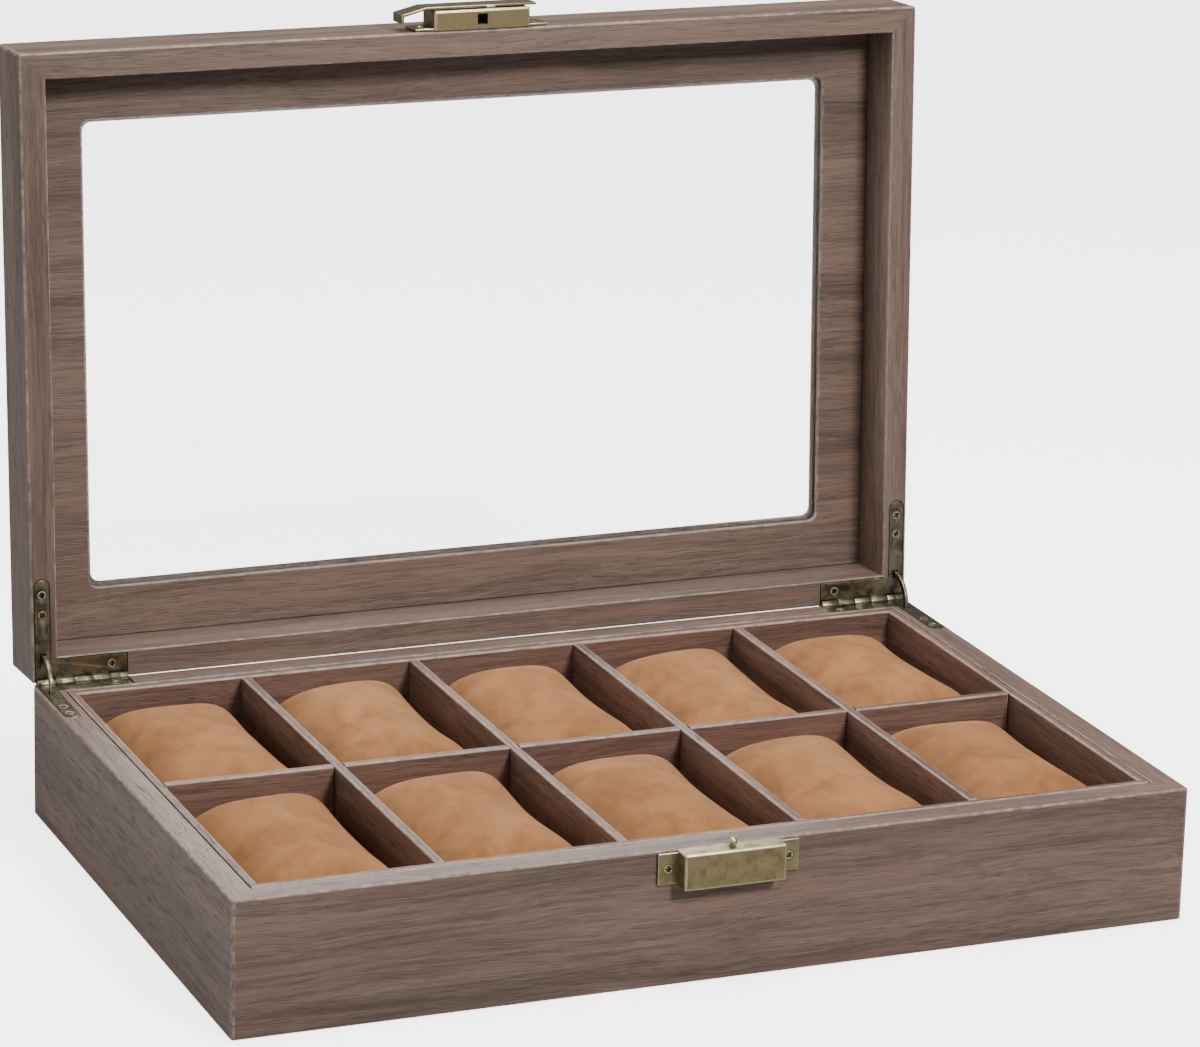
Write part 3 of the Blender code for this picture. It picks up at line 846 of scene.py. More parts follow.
@dataclass(frozen=True)
class Walnut:
    """A walnut-grain surface, paler along its edges, partly from scuffing and partly from a painted
    highlight.

    Args:
        name: The material's name.
        light: The colour of its pale bands.
        dark: The colour of its dark bands and pores.
        streak: The colour of its reddish streaks.
        worn: The colour of its edges, paler from scuffing and from a painted highlight.
        streaks: How strong the streaks are.
        wear: How much of the edges is scuffed paler, with a painted highlight.
        roughness: How matt it is.
        contrast: How strong the figure is.
    """

    name: str
    light: Colour
    dark: Colour
    streak: Colour
    worn: Colour
    streaks: float = 0.5
    wear: float = 0.6
    roughness: float = 0.5
    contrast: float = 1.0

    def material(self, effects: Effects) -> bpy.types.Material:
        """Build the material from the shared effects."""
        material, g, shader = new_material(self.name)
        place = g.attribute(Attribute.GRAIN, "Vector")
        figure = g.group(
            effects.timber,
            Place=place,
            Light_Colour=opaque(self.light),
            Dark_Colour=opaque(self.dark),
            Streak_Colour=opaque(self.streak),
            Streaks=self.streaks,
            Contrast=self.contrast,
        ).outputs
        edge = g.attribute(Attribute.EDGE, "Fac")
        # Edges take a paler colour: real scuffing with a painted highlight mixed in.
        rubbed = g.group(effects.wear, Place=place, Edge=edge, Amount=self.wear).outputs["Mask"]
        colour = g.mixed(rubbed, figure["Figure Colour"], opaque(self.worn))
        rough = g.math("ADD", self.roughness, g.math("MULTIPLY", figure["Pores"], 0.2))
        g.put(shader.inputs["Base Color"], colour)
        g.put(shader.inputs["Roughness"], rough)
        g.put(shader.inputs["Normal"], g.bump(figure["Height"], 0.5, 0.12 * MM))
        shader.inputs["Specular IOR Level"].default_value = 0.4
        return material


@dataclass(frozen=True)
class Plating:
    """A darkened metal plating, bright along its edges, partly scuffed through and partly a painted
    highlight.

    Args:
        name: The material's name.
        metal: The colour of the bright metal.
        tarnish: The colour where it has darkened.
        rubbed: The colour of its edges, bright from scuffing and from a painted highlight.
        share: How much of it is tarnished.
        smooth: Its roughness where it is bright.
        dull: Its roughness where it is tarnished.
    """

    name: str
    metal: Colour
    tarnish: Colour
    rubbed: Colour
    share: float
    smooth: float = 0.25
    dull: float = 0.5

    def material(self, effects: Effects) -> bpy.types.Material:
        """Build the material from the shared effects."""
        material, g, shader = new_material(self.name)
        place = g.node("TexCoord").outputs["Object"]
        plated = g.group(
            effects.patina,
            Place=place,
            Metal_Colour=opaque(self.metal),
            Tarnish_Colour=opaque(self.tarnish),
            Tarnish=self.share,
            Smooth=self.smooth,
            Dull=self.dull,
        ).outputs
        edge = g.attribute(Attribute.EDGE, "Fac")
        # Edges take a brighter metal colour: scuffing with a painted highlight mixed in.
        rubbed = g.group(effects.wear, Place=place, Edge=edge, Amount=0.6, Scale=500.0).outputs["Mask"]
        g.put(shader.inputs["Base Color"], g.mixed(rubbed, plated["Plated Colour"], opaque(self.rubbed)))
        g.put(shader.inputs["Roughness"], plated["Roughness"])
        g.put(shader.inputs["Normal"], g.bump(plated["Height"], 0.35, 0.05 * MM))
        shader.inputs["Metallic"].default_value = 1.0
        return material


@dataclass(frozen=True)
class Suede:
    """Soft tan suede with a mottled nap.

    Args:
        name: The material's name.
        light: Its colour where the nap lies pale.
        dark: Its colour where the nap lies dark.
    """

    name: str
    light: Colour
    dark: Colour

    def material(self, effects: Effects) -> bpy.types.Material:
        """Build the material from the shared effects."""
        material, g, shader = new_material(self.name)
        place = g.node("TexCoord").outputs["Object"]
        nap = g.group(
            effects.nap, Place=place, Light_Colour=opaque(self.light), Dark_Colour=opaque(self.dark)
        ).outputs
        g.put(shader.inputs["Base Color"], nap["Nap Colour"])
        g.put(shader.inputs["Normal"], g.bump(nap["Height"], 0.45, 0.25 * MM))
        shader.inputs["Roughness"].default_value = 0.95
        shader.inputs["Specular IOR Level"].default_value = 0.15
        shader.inputs["Sheen Weight"].default_value = 0.2
        shader.inputs["Sheen Roughness"].default_value = 0.45
        shader.inputs["Sheen Tint"].default_value = (1.0, 0.62, 0.34, 1.0)
        return material


@dataclass(frozen=True)
class WindowGlass:
    """Clear polished glass."""

    name: str = "clear_window_glass"

    def material(self) -> bpy.types.Material:
        """Build the material."""
        material, g, shader = new_material(self.name)
        place = g.node("TexCoord").outputs["Object"]
        haze = g.noise(place, 9.0, 3.0)
        g.put(shader.inputs["Roughness"], g.ranged(haze, 0.4, 0.8, 0.0, 0.02))
        shader.inputs["Base Color"].default_value = (0.97, 0.99, 0.985, 1.0)
        shader.inputs["Transmission Weight"].default_value = 1.0
        shader.inputs["IOR"].default_value = 1.45
        return material


@dataclass(frozen=True)
class Bead:
    """The dark glazing bead, matt with a slight mottle."""

    name: str = "dark_glazing_bead"
    colour: Colour = (0.075, 0.052, 0.042)

    def material(self) -> bpy.types.Material:
        """Build the material."""
        material, g, shader = new_material(self.name)
        place = g.node("TexCoord").outputs["Object"]
        mottle = g.noise(place, 900.0, 3.0)
        pale = opaque(tuple(1.6 * c for c in self.colour))
        g.put(shader.inputs["Base Color"], g.mixed(g.ranged(mottle, 0.45, 0.8), opaque(self.colour), pale))
        g.put(shader.inputs["Roughness"], g.ranged(mottle, 0.3, 0.7, 0.45, 0.65))
        g.put(shader.inputs["Normal"], g.bump(mottle, 0.3, 0.05 * MM))
        return material


class Finishes:
    """Every finish of the box, each built once."""

    def __init__(self) -> None:
        """Build the materials."""
        effects = Effects()
        # The paler edge colours below are scuffing with a painted highlight mixed in.
        self.casing = Walnut(
            "walnut_covering",
            light=(0.190, 0.130, 0.100),
            dark=(0.066, 0.043, 0.033),
            streak=(0.175, 0.096, 0.076),
            worn=(0.34, 0.27, 0.23),
            wear=0.32,
            roughness=0.46,
        ).material(effects)
        self.lining = Walnut(
            "walnut_lining",
            light=(0.190, 0.110, 0.080),
            dark=(0.055, 0.030, 0.022),
            streak=(0.180, 0.082, 0.058),
            worn=(0.32, 0.24, 0.20),
            wear=0.5,
            roughness=0.5,
        ).material(effects)
        self.suede = Suede("tan_suede", (0.300, 0.138, 0.055), (0.165, 0.068, 0.025)).material(effects)
        self.bronze = Plating(
            "hinge_bronze",
            metal=(0.220, 0.195, 0.130),
            tarnish=(0.045, 0.041, 0.028),
            rubbed=(0.45, 0.40, 0.28),
            share=0.50,
        ).material(effects)
        self.brass = Plating(
            "latch_brass",
            metal=(0.315, 0.255, 0.132),
            tarnish=(0.165, 0.132, 0.066),
            rubbed=(0.54, 0.47, 0.30),
            share=0.42,
            smooth=0.3,
            dull=0.48,
        ).material(effects)
        self.glass = WindowGlass().material()
        self.bead = Bead().material()


# ------------------------------------------------------------------ woodwork


@dataclass(frozen=True)
class Easing:
    """How round a board's edges are.

    Args:
        outer: The radius of the outer edges along the rims.
        inner: The radius of its other edges.
        closed: The radius of the rims' outer edges at the back, where the halves stay together.
        swell: How far the covering swells above the base's back rim, which the lid stands on.
        corner: The radius of the frame's upright corners.
        hair: How far its faces lie inside its solid's.
        mitre: How far its ends reach past its solid's, so that the mitres close.
    """

    outer: float = 0.7 * MM
    inner: float = 0.45 * MM
    closed: float = 0.05 * MM
    swell: float = 0.27 * MM
    corner: float = 1.1 * MM
    hair: float = 0.02 * MM
    mitre: float = 0.19 * MM


@dataclass
class Joiner:
    """Makes boards from their solids: eased edges, grain along the board, and a place in the timber.

    Args:
        finishes: The box's finishes.
        easing: How round the edges are.
        made: How many boards it has made, which sets each one's place in the timber.
    """

    finishes: Finishes
    easing: Easing = field(default_factory=Easing)
    made: int = 0

    def _finish(
        self,
        node: str,
        mesh: bpy.types.Mesh,
        half: Half,
        turn: np.ndarray,
        material: bpy.types.Material,
    ) -> bpy.types.Object:
        """Write a board's grain and edges, open it if it is the lid's, and put it in the scene.

        A face counts as an edge, scuffed paler and given a painted highlight, when its normal, in the
        board's own frame, lies along no axis. Each board is read from its own stretch of timber, a step
        further on.
        """
        local = points_of(mesh) @ turn
        self.made += 1
        step = np.array([0.37, 0.053, 0.071]) * self.made
        write_grain(mesh, local + step)
        normal = np.abs(vectors(mesh.polygons, "normal") @ turn)
        mitred = (normal[:, 2] < 0.01) & (abs(normal[:, 0] - normal[:, 1]) < 0.01)
        flat = (normal.max(1) > STRAIGHT) | mitred
        write_edge(mesh, np.where(flat, 0.0, 1.0))
        shade(mesh, flat)
        name = f"{material.name.split('_')[0]}_{node}"
        return finished_piece(name, open_mesh(mesh, half), material, half.value, (node,))

    def wall(self, node: str, side: Side, half: Half) -> bpy.types.Object:
        """A mitred wall of the casing or lid.

        Args:
            node: Its node.
            side: The side that it stands on.
            half: The half of the box that it belongs to.

        Returns:
            The piece.
        """
        turn = side.turn
        points = node_points(node, half) @ turn
        low, high = ends(points)
        easing = self.easing
        rim = easing.closed if side is Side.BACK else easing.outer
        outer = (easing.inner, rim) if half is Half.BASE else (rim, easing.inner)
        swell = easing.swell if side is Side.BACK and half is Half.BASE else 0.0
        high[2] += swell
        board = MitredBoard(
            half_length=high[0] + easing.mitre,
            reach=-low[1] - easing.hair,
            thickness=high[1] - low[1] - 2 * easing.hair,
            low=low[2] + easing.hair,
            high=high[2] - easing.hair,
            edges=(outer[0], easing.inner, easing.inner, outer[1]),
            corner=easing.corner,
        )
        mesh = board.shell().at(turn, np.zeros(3)).mesh(node)
        solid = merged_copy(node, half)
        local = points_of(solid) @ turn
        from_end = high[0] - np.abs(local[:, 0])
        at_mitre = np.abs(from_end - (local[:, 1] - low[1])) < MM / 100
        local[at_mitre, 0] += np.sign(local[at_mitre, 0]) * 3 * easing.mitre
        at_rim = np.abs(local[:, 2] - (high[2] - swell)) < MM / 100
        local[at_rim, 2] += swell
        put_points(solid, local @ turn.T)
        mesh = combined(mesh, "INTERSECT", solid)
        return self._finish(node, mesh, half, turn, self.finishes.casing)

    def liner(self, node: str, side: Side) -> bpy.types.Object:
        """A thin mitred liner of the tray."""
        turn = side.turn
        points = node_points(node) @ turn
        low, high = ends(points)
        board = MitredBoard(
            half_length=high[0] + self.easing.mitre,
            reach=-low[1],
            thickness=high[1] - low[1],
            low=low[2],
            high=high[2],
            edges=(0.2 * MM, 0.2 * MM, 0.6 * MM, 0.5 * MM),
            corner=0.3 * MM,
        )
        mesh = board.shell(3).at(turn, np.zeros(3)).mesh(node)
        return self._finish(node, mesh, Half.BASE, turn, self.finishes.lining)

    def slat(self, node: str, side: Side, radius: float, notched: bool) -> bpy.types.Object:
        """A plain board with round edges: a divider, the bottom or the floor.

        Args:
            node: Its node.
            side: The side whose length its grain follows.
            radius: The radius of its edges.
            notched: Whether its solid has notches to keep.

        Returns:
            The piece.
        """
        turn = side.turn
        low, high = node_box(node)
        hair = self.easing.hair
        mesh = rounded_box(low + hair, high - hair, radius, 2).mesh(node)
        if notched:
            mesh = combined(mesh, "INTERSECT", merged_copy(node, Half.BASE))
        return self._finish(node, mesh, Half.BASE, turn, self.finishes.lining)

    def window_panel(self, node: str) -> bpy.types.Object:
        """The lid's panel: its section carried round the window's opening.

        The section runs from the opening's lip out over the rebate for the glass, and its outer
        edge is stretched from the round opening to the panel's square outline.
        """
        points = node_points(node, Half.LID)
        low, high = ends(points)
        lip = points[np.abs(points[:, 2] - low[2]) < MM / 20]
        inside = lip[(np.abs(lip[:, 0]) < high[0] - 5 * MM) & (np.abs(lip[:, 1]) < high[1] - 5 * MM)]
        half = np.abs(inside[:, :2]).max(0)
        step_heights = np.unique(np.round(points[:, 2], 6))
        seat = step_heights[(step_heights > low[2] + MM) & (step_heights < high[2] - MM)].min()
        rebate = np.abs(points[np.abs(points[:, 2] - seat) < MM / 20][:, 0]).max() - half[0]
        margin = high[0] - half[0]
        ease = 0.45 * MM
        over = arc((ease, low[2] + ease), ease, 270.0, 180.0, 4)
        section = np.vstack(
            [
                [[margin, low[2]]],
                [[margin * 0.5, low[2]]],
                over,
                [[0.0, seat], [rebate, seat], [rebate, high[2] - 0.3 * MM]],
                [[rebate + 0.3 * MM, high[2]], [margin * 0.6, high[2]], [margin, high[2]]],
            ]
        )
        path, outward = round_corner_path(half, WINDOW_CORNER, CORNER_STEPS)
        grid = ring_round(path, outward, section)
        square = np.array([high[0], high[1]])
        away = outward / np.abs(outward).max(1, keepdims=True)
        sharpened = np.clip(path + away * 2 * margin, -square, square)
        grid[:, 0, :2] = sharpened
        grid[:, -1, :2] = sharpened
        mesh = grid_shell(grid, True, True).mesh(node)
        return self._finish(
            node, mesh, Half.LID, Side.FRONT.turn, self.finishes.casing
        )


@dataclass
class Casing:
    """The base's four walls and its bottom.

    Args:
        joiner: Who makes the boards.
    """

    joiner: Joiner

    def build(self) -> None:
        """Make every board of the casing."""
        for side in Side:
            self.joiner.wall(f"base_{side.word}_wall", side, Half.BASE)
        self.joiner.slat("base_bottom_board", Side.FRONT, 0.4 * MM, notched=False)


@dataclass
class Tray:
    """The lining and dividers inside the casing.

    Args:
        joiner: Who makes the boards.
        crossings: How many cross dividers there are.
    """

    joiner: Joiner
    crossings: int = 4

    def build(self) -> None:
        """Make the floor, the liners and the dividers."""
        self.joiner.slat("tray_floor_lining", Side.FRONT, 0.3 * MM, notched=False)
        for side in Side:
            self.joiner.liner(f"tray_{side.word}_liner", side)
        self.joiner.slat("long_divider", Side.FRONT, 0.55 * MM, notched=True)
        for number in range(1, self.crossings + 1):
            self.joiner.slat(f"cross_divider_{number}", Side.RIGHT, 0.55 * MM, notched=True)


@dataclass
class Lid:
    """The lid's walls, its window panel, the glass and its bead.

    Args:
        joiner: Who makes the boards.
        finishes: The box's finishes.
    """

    joiner: Joiner
    finishes: Finishes

    def build(self) -> None:
        """Make every piece of the lid."""
        for side in Side:
            self.joiner.wall(f"lid_{side.word}_wall", side, Half.LID)
        self.joiner.window_panel("lid_window_panel")
        self._glass()
        self._bead()

    def _glass(self) -> None:
        """The pane: a slab whose edges are ground to a small radius."""
        low, high = node_box("glass_pane", Half.LID)
        mesh = rounded_box(low, high, 0.35 * MM, 2).mesh("glass_pane")
        shade(mesh, np.abs(vectors(mesh.polygons, "normal")).max(1) > STRAIGHT)
        finished_piece(
            "clear_glass_pane",
            open_mesh(mesh, Half.LID),
            self.finishes.glass,
            Half.LID.value,
            ("glass_pane",),
        )

    def _bead(self) -> None:
        """The bead: a section with a round inner shoulder carried round the window."""
        points = node_points("glass_bead", Half.LID)
        low, high = ends(points)
        inside = points[(np.abs(points[:, 0]) < high[0] - MM) & (np.abs(points[:, 1]) < high[1] - MM)]
        half = np.abs(inside[:, :2]).max(0)
        width, height = high[0] - half[0], high[2] - low[2]
        shoulder = arc((height * 0.8, low[2] + height * 0.2), height * 0.8, 180.0, 90.0, 4)
        section = np.vstack([[[width, low[2]], [0.0, low[2]]], shoulder, [[width, high[2]]]])
        path, outward = round_corner_path(half, WINDOW_CORNER, CORNER_STEPS)
        grid = ring_round(path, outward, section)
        square = high[:2]
        for column in (0, -1):
            grid[:, column, :2] = np.clip(path + outward * 2 * width, -square, square)
        mesh = grid_shell(grid, True, True).mesh("glass_bead")
        shade(mesh, sharp=30.0)
        finished_piece(
            "dark_glass_bead",
            open_mesh(mesh, Half.LID),
            self.finishes.bead,
            Half.LID.value,
            ("glass_bead",),
        )


# ------------------------------------------------------------------ cushions


CLOTH_FRAMES = 20
CLOTH = {
    "quality": 6,
    "mass": 0.4,
    "tension_stiffness": 12.0,
    "compression_stiffness": 6.0,
    "shear_stiffness": 4.0,
    "bending_stiffness": 0.6,
    "use_pressure": True,
    "uniform_pressure_force": 4.0,
}


@dataclass
class Cushions:
    """The ten suede cushions, each blown up on its own so that no two are alike.

    Args:
        finishes: The box's finishes.
        count: How many there are.
        columns: Points across the cover of a panel.
        rows: Points along it.
        enlarge: How many times larger the cloth is while it is simulated.
        fuller: How far the seams reach past the solid on the left and on the right.
        sunk: The share of its height, at the foot, that the floor presses flat.
        cap: The farthest that the cloth may move, as a share of its height.
        slack: The largest share by which one cushion is lower than another.
        seed: The seed of their differences.
    """

    finishes: Finishes
    count: int = 10
    columns: int = 26
    rows: int = 42
    enlarge: float = 10.0
    fuller: tuple[float, float] = (0.3 * MM, 2.6 * MM)
    sunk: float = 0.06
    cap: float = 0.12
    slack: float = 0.035
    seed: int = 7

    def build(self) -> None:
        """Make every cushion."""
        for number in range(1, self.count + 1):
            self._cushion(f"pillow_{number:02d}", np.random.default_rng(self.seed + number))

    def _cover(self, size: np.ndarray, chance: np.random.Generator) -> Shell:
        """Two panels joined along a seam round the middle.

        In plan the sides pull in between the corners, the right one most: x is u times the half
        width less a share that falls away towards the corners, and the same along. The height
        above and below the seam is the root of one less u to a power, times the same of v. The
        top is lowered by a crown in u and v squared, most on the left, stirred by slow waves,
        dented near the corners and tilted to one side.

        Args:
            size: The cushion's width, length and height.
            chance: Its own random numbers.

        Returns:
            The closed cover about the seam's middle.
        """
        u, v = np.meshgrid(
            np.sin(np.linspace(-np.pi / 2, np.pi / 2, self.columns)),
            np.sin(np.linspace(-np.pi / 2, np.pi / 2, self.rows)),
            indexing="ij",
        )
        half = size / 2
        pull_right = 0.14 + 0.09 * chance.random()
        pull_left = 0.04 + 0.03 * chance.random()
        pull_y = 0.03 + 0.03 * chance.random()
        pull = np.where(u > 0, pull_right, pull_left)
        middle = 0.3 * (chance.random() - 0.5)
        x = half[0] * u * (1 - pull * (1 - v**2) * (1 + middle * v) * u**2)
        y = half[1] * v * (1 - pull_y * (1 - u**2) * v**2)
        bulge = (1 - np.abs(u) ** 4.4) ** 0.5 * (1 - np.abs(v) ** 11.0) ** 0.5
        crown = 0.05 * u**2 + 0.11 * np.minimum(u, 0) ** 2 + (0.04 + 0.04 * chance.random()) * v**2
        phase = chance.random(4) * 2 * np.pi
        wave = 0.02 * np.sin(2.1 * u + 1.6 * v + phase[0]) + 0.015 * np.sin(3.4 * v - 1.5 * u + phase[1])
        dent = 0.03 * np.sin(7.0 * u * v + 3.0 * v + phase[2]) * (u * v) ** 2
        tilt = (0.02 + 0.04 * chance.random()) * u + 0.03 * (chance.random() - 0.5) * v
        top = half[2] * bulge * (1 - crown + wave + dent + tilt)
        under = -half[2] * bulge
        upper = grid_shell(np.stack([x, y, top], -1), False, False)
        lower = grid_shell(np.stack([x, y, under], -1), False, False)
        return upper.plus(lower)

    def _blown(self, mesh: bpy.types.Mesh, size: np.ndarray) -> bpy.types.Mesh:
        """The cover after twenty frames of cloth under pressure, with a cap on each point's way.

        Args:
            mesh: The cover.
            size: The cushion's size.

        Returns:
            The blown-up cover.
        """
        start = points_of(mesh)
        put_points(mesh, start * self.enlarge)
        carrier = bpy.data.objects.new("cover", mesh)
        bpy.context.scene.collection.objects.link(carrier)
        cloth = carrier.modifiers.new("cloth", "CLOTH")
        for key, value in CLOTH.items():
            setattr(cloth.settings, key, value)
        cloth.settings.effector_weights.gravity = 0.0
        cloth.point_cache.frame_start = 1
        cloth.point_cache.frame_end = CLOTH_FRAMES
        scene = bpy.context.scene
        for number in range(1, CLOTH_FRAMES + 1):
            scene.frame_set(number)
        graph = bpy.context.evaluated_depsgraph_get()
        blown = bpy.data.meshes.new_from_object(carrier.evaluated_get(graph))
        bpy.data.objects.remove(carrier)
        scene.frame_set(1)
        moved = points_of(blown) / self.enlarge - start
        length = np.linalg.norm(moved, axis=1, keepdims=True)
        kept = moved * np.minimum(1.0, self.cap * size[2] / np.maximum(length, 1e-9))
        put_points(blown, start + kept)
        return blown

    def _cushion(self, node: str, chance: np.random.Generator) -> None:
        """One cushion, blown up, settled on its flat underside and fitted to its solid's space."""
        low, high = node_box(node)
        size = high - low
        mesh = self._cover(size, chance).mesh(node)
        mesh = self._blown(mesh, size)
        mesh = with_modifiers(mesh, {"kind": "SUBSURF", "levels": 1, "render_levels": 1})
        points = points_of(mesh)
        points = (points - points.min(0)) / (points.max(0) - points.min(0))
        points[:, 2] = (np.maximum(points[:, 2], self.sunk) - self.sunk) / (1.0 - self.sunk)
        points[:, 2] *= 1.0 - self.slack * chance.random()
        place = low + points * size - np.array([self.fuller[0], 0.0, 0.0]) * (1 - points)
        place += np.array([self.fuller[1], 0.0, 0.0]) * points
        put_points(mesh, place)
        shade(mesh, sharp=70.0)
        piece = finished_piece(
            f"suede_{node}", mesh, self.finishes.suede, node, (node,)
        )


# ------------------------------------------------------------------ metalwork


@dataclass
class Metalsmith:
    """Makes the fittings from their solids, with small bright edges.

    Args:
        finishes: The box's finishes.
    """

    finishes: Finishes

    def metal(self, slot: str) -> bpy.types.Material:
        """The finish that a slot takes."""
        return self.finishes.bronze if slot == "hinge_bronze" else self.finishes.brass

    def fitted(self, node: str, mesh: bpy.types.Mesh, half: Half, body: str, slot: str) -> bpy.types.Object:
        """Put a fitting in the scene, named for its metal.

        Args:
            node: Its node.
            mesh: Its mesh, with the lid shut.
            half: The half of the box that it lies in.
            body: The body that it rides on.
            slot: Its material slot.

        Returns:
            The piece.
        """
        name = f"{slot.split('_')[1]}_{node}"
        return finished_piece(name, open_mesh(mesh, half), self.metal(slot), body, (node,))

    def eased(self, node: str, half: Half, body: str, width: float, slot: str) -> bpy.types.Object:
        """A fitting whose edges are eased by a small bevel, which takes the scuffed colour and a painted
        highlight.

        Args:
            node: Its node.
            half: The half of the box that it lies in.
            body: The body that it rides on.
            width: The bevel's width.
            slot: Its material slot.

        Returns:
            The piece.
        """
        material = self.metal(slot)
        mesh = merged_copy(node, half)
        mesh.materials.append(material)
        mesh.materials.append(material)
        mesh = with_modifiers(
            mesh,
            {
                "kind": "BEVEL",
                "width": width,
                "segments": 2,
                "limit_method": "ANGLE",
                "angle_limit": math.radians(40.0),
                "material": 1,
            },
        )
        index = np.zeros(len(mesh.polygons), np.int32)
        mesh.polygons.foreach_get("material_index", index)
        mesh.polygons.foreach_set("material_index", np.zeros_like(index))
        write_edge(mesh, index.astype(float))
        shade(mesh, index == 0 if node.endswith("slide") else None)
        return self.fitted(node, mesh, half, body, slot)

    def screw(self, node: str, half: Half, towards: np.ndarray, slot: str, turn: float) -> bpy.types.Object:
        """A countersunk screw whose head has a cross recess.

        The head is a disc of rings and spokes. Its height falls by a smooth step where a point
        lies within the cross's half width of either arm and inside the arms' length.

        Args:
            node: Its node.
            half: The half of the box that it lies in.
            towards: The way its head faces, with the lid shut.
            slot: Its material slot.
            turn: How far its cross is turned, in radians.

        Returns:
            The piece.
        """
        points = node_points(node, half)
        along = points @ towards
        top, foot = along.max(), along.min()
        across = (points.min(0) + points.max(0)) / 2 * (1 - np.abs(towards))
        radius = (points.max(0) - points.min(0))[np.abs(towards) < 0.5].min() / 2
        radii = radius * np.array([0.0, 0.12, 0.2, 0.28, 0.36, 0.46, 0.56, 0.64, 0.72, 0.84, 0.93, 0.98])
        angle = np.linspace(0.0, 2 * np.pi, 32, endpoint=False)
        r, a = np.meshgrid(radii, angle, indexing="ij")
        x, y = r * np.cos(a), r * np.sin(a)
        c, s = math.cos(turn), math.sin(turn)
        arm = np.minimum(np.abs(c * x + s * y), np.abs(c * y - s * x))
        inside = np.clip((radius * 0.2 - arm) / (radius * 0.08), 0, 1) * np.clip(
            (radius * 0.68 - r) / (radius * 0.08), 0, 1
        )
        dome = 0.06 * radius * (1 - (r / radius) ** 2)
        z = dome - inside * radius * 0.5
        head = np.stack([x, y, z], -1)
        cone = 0.85 * MM
        shank = 0.75 * MM
        rows = [(radius, -0.06 * MM), (radius, -0.16 * MM), (shank, -cone), (shank, foot - top + 0.9 * MM)]
        ring = np.stack([np.cos(angle), np.sin(angle), np.zeros_like(angle)], -1)
        body = np.stack([ring * q + np.array([0.0, 0.0, h]) for q, h in rows])
        tip = np.zeros((1, len(angle), 3))
        tip[..., 2] = foot - top
        grid = np.concatenate([head, body, tip])
        spin = np.array(Vector((0.0, 0.0, 1.0)).rotation_difference(Vector(towards)).to_matrix())
        shell = grid_shell(grid, False, True).at(spin, across + towards * top)
        mesh = shell.mesh(node)
        centre = vectors(mesh.polygons, "center") - (across + towards * top)
        away = np.linalg.norm(centre - (centre @ towards)[:, None] * towards, axis=1)
        write_edge(mesh, np.where(away > 0.66 * radius, 1.0, 0.0))
        shade(mesh)
        return self.fitted(node, mesh, half, half.value, slot)


@dataclass
class StayHinge:
    """One of the two stay hinges: its leaves, pin, screws and curved stay.

    Args:
        smith: Who makes the metalwork.
        hand: The side of the box that it is on.
    """

    smith: Metalsmith
    hand: Hand

    def build(self) -> None:
        """Make every piece of the hinge."""
        word = self.hand.word
        up = np.array([0.0, 0.0, 1.0])
        for half, towards in ((Half.BASE, up), (Half.LID, -up)):
            leaf = f"hinge_{word}_{half.value}_leaf"
            self.smith.eased(leaf, half, half.value, 0.14 * MM, "hinge_bronze")
            for number in (1, 2, 3):
                node = f"hinge_{word}_{half.value}_screw_{number}"
                turn = 0.7 * number + self.hand.value + (0.4 if half is Half.LID else 0.0)
                self.smith.screw(node, half, towards, "hinge_bronze", turn)
        self._pin(f"hinge_{word}_pin")
        stay = f"hinge_{word}_stay"
        self.smith.eased(stay, Half.BASE, f"{word}_stay", 0.15 * MM, "hinge_bronze")

    def _pin(self, node: str) -> None:
        """The pin: a turned rod with a low dome at each end, laid along X."""
        low, high = node_box(node)
        radius, length = (high[2] - low[2]) / 2, high[0] - low[0]
        dome = arc((radius * 0.4, length / 2 - radius * 0.6), radius * 0.6, 90.0, 0.0, 4)
        foot = dome[::-1] * np.array([1.0, -1.0])
        top, bottom = [[radius * 0.05, length / 2]], [[radius * 0.05, -length / 2]]
        shell = turned(np.vstack([top, dome, foot, bottom]), 20)
        lay = np.array([[0.0, 0.0, 1.0], [0.0, 1.0, 0.0], [-1.0, 0.0, 0.0]])
        mesh = shell.at(lay, (low + high) / 2).mesh(node)
        # The whole pin takes much of the scuffed colour with its painted highlight.
        write_edge(mesh, np.full(len(mesh.polygons), 0.6))
        shade(mesh)
        self.smith.fitted(node, mesh, Half.BASE, "base", "hinge_bronze")


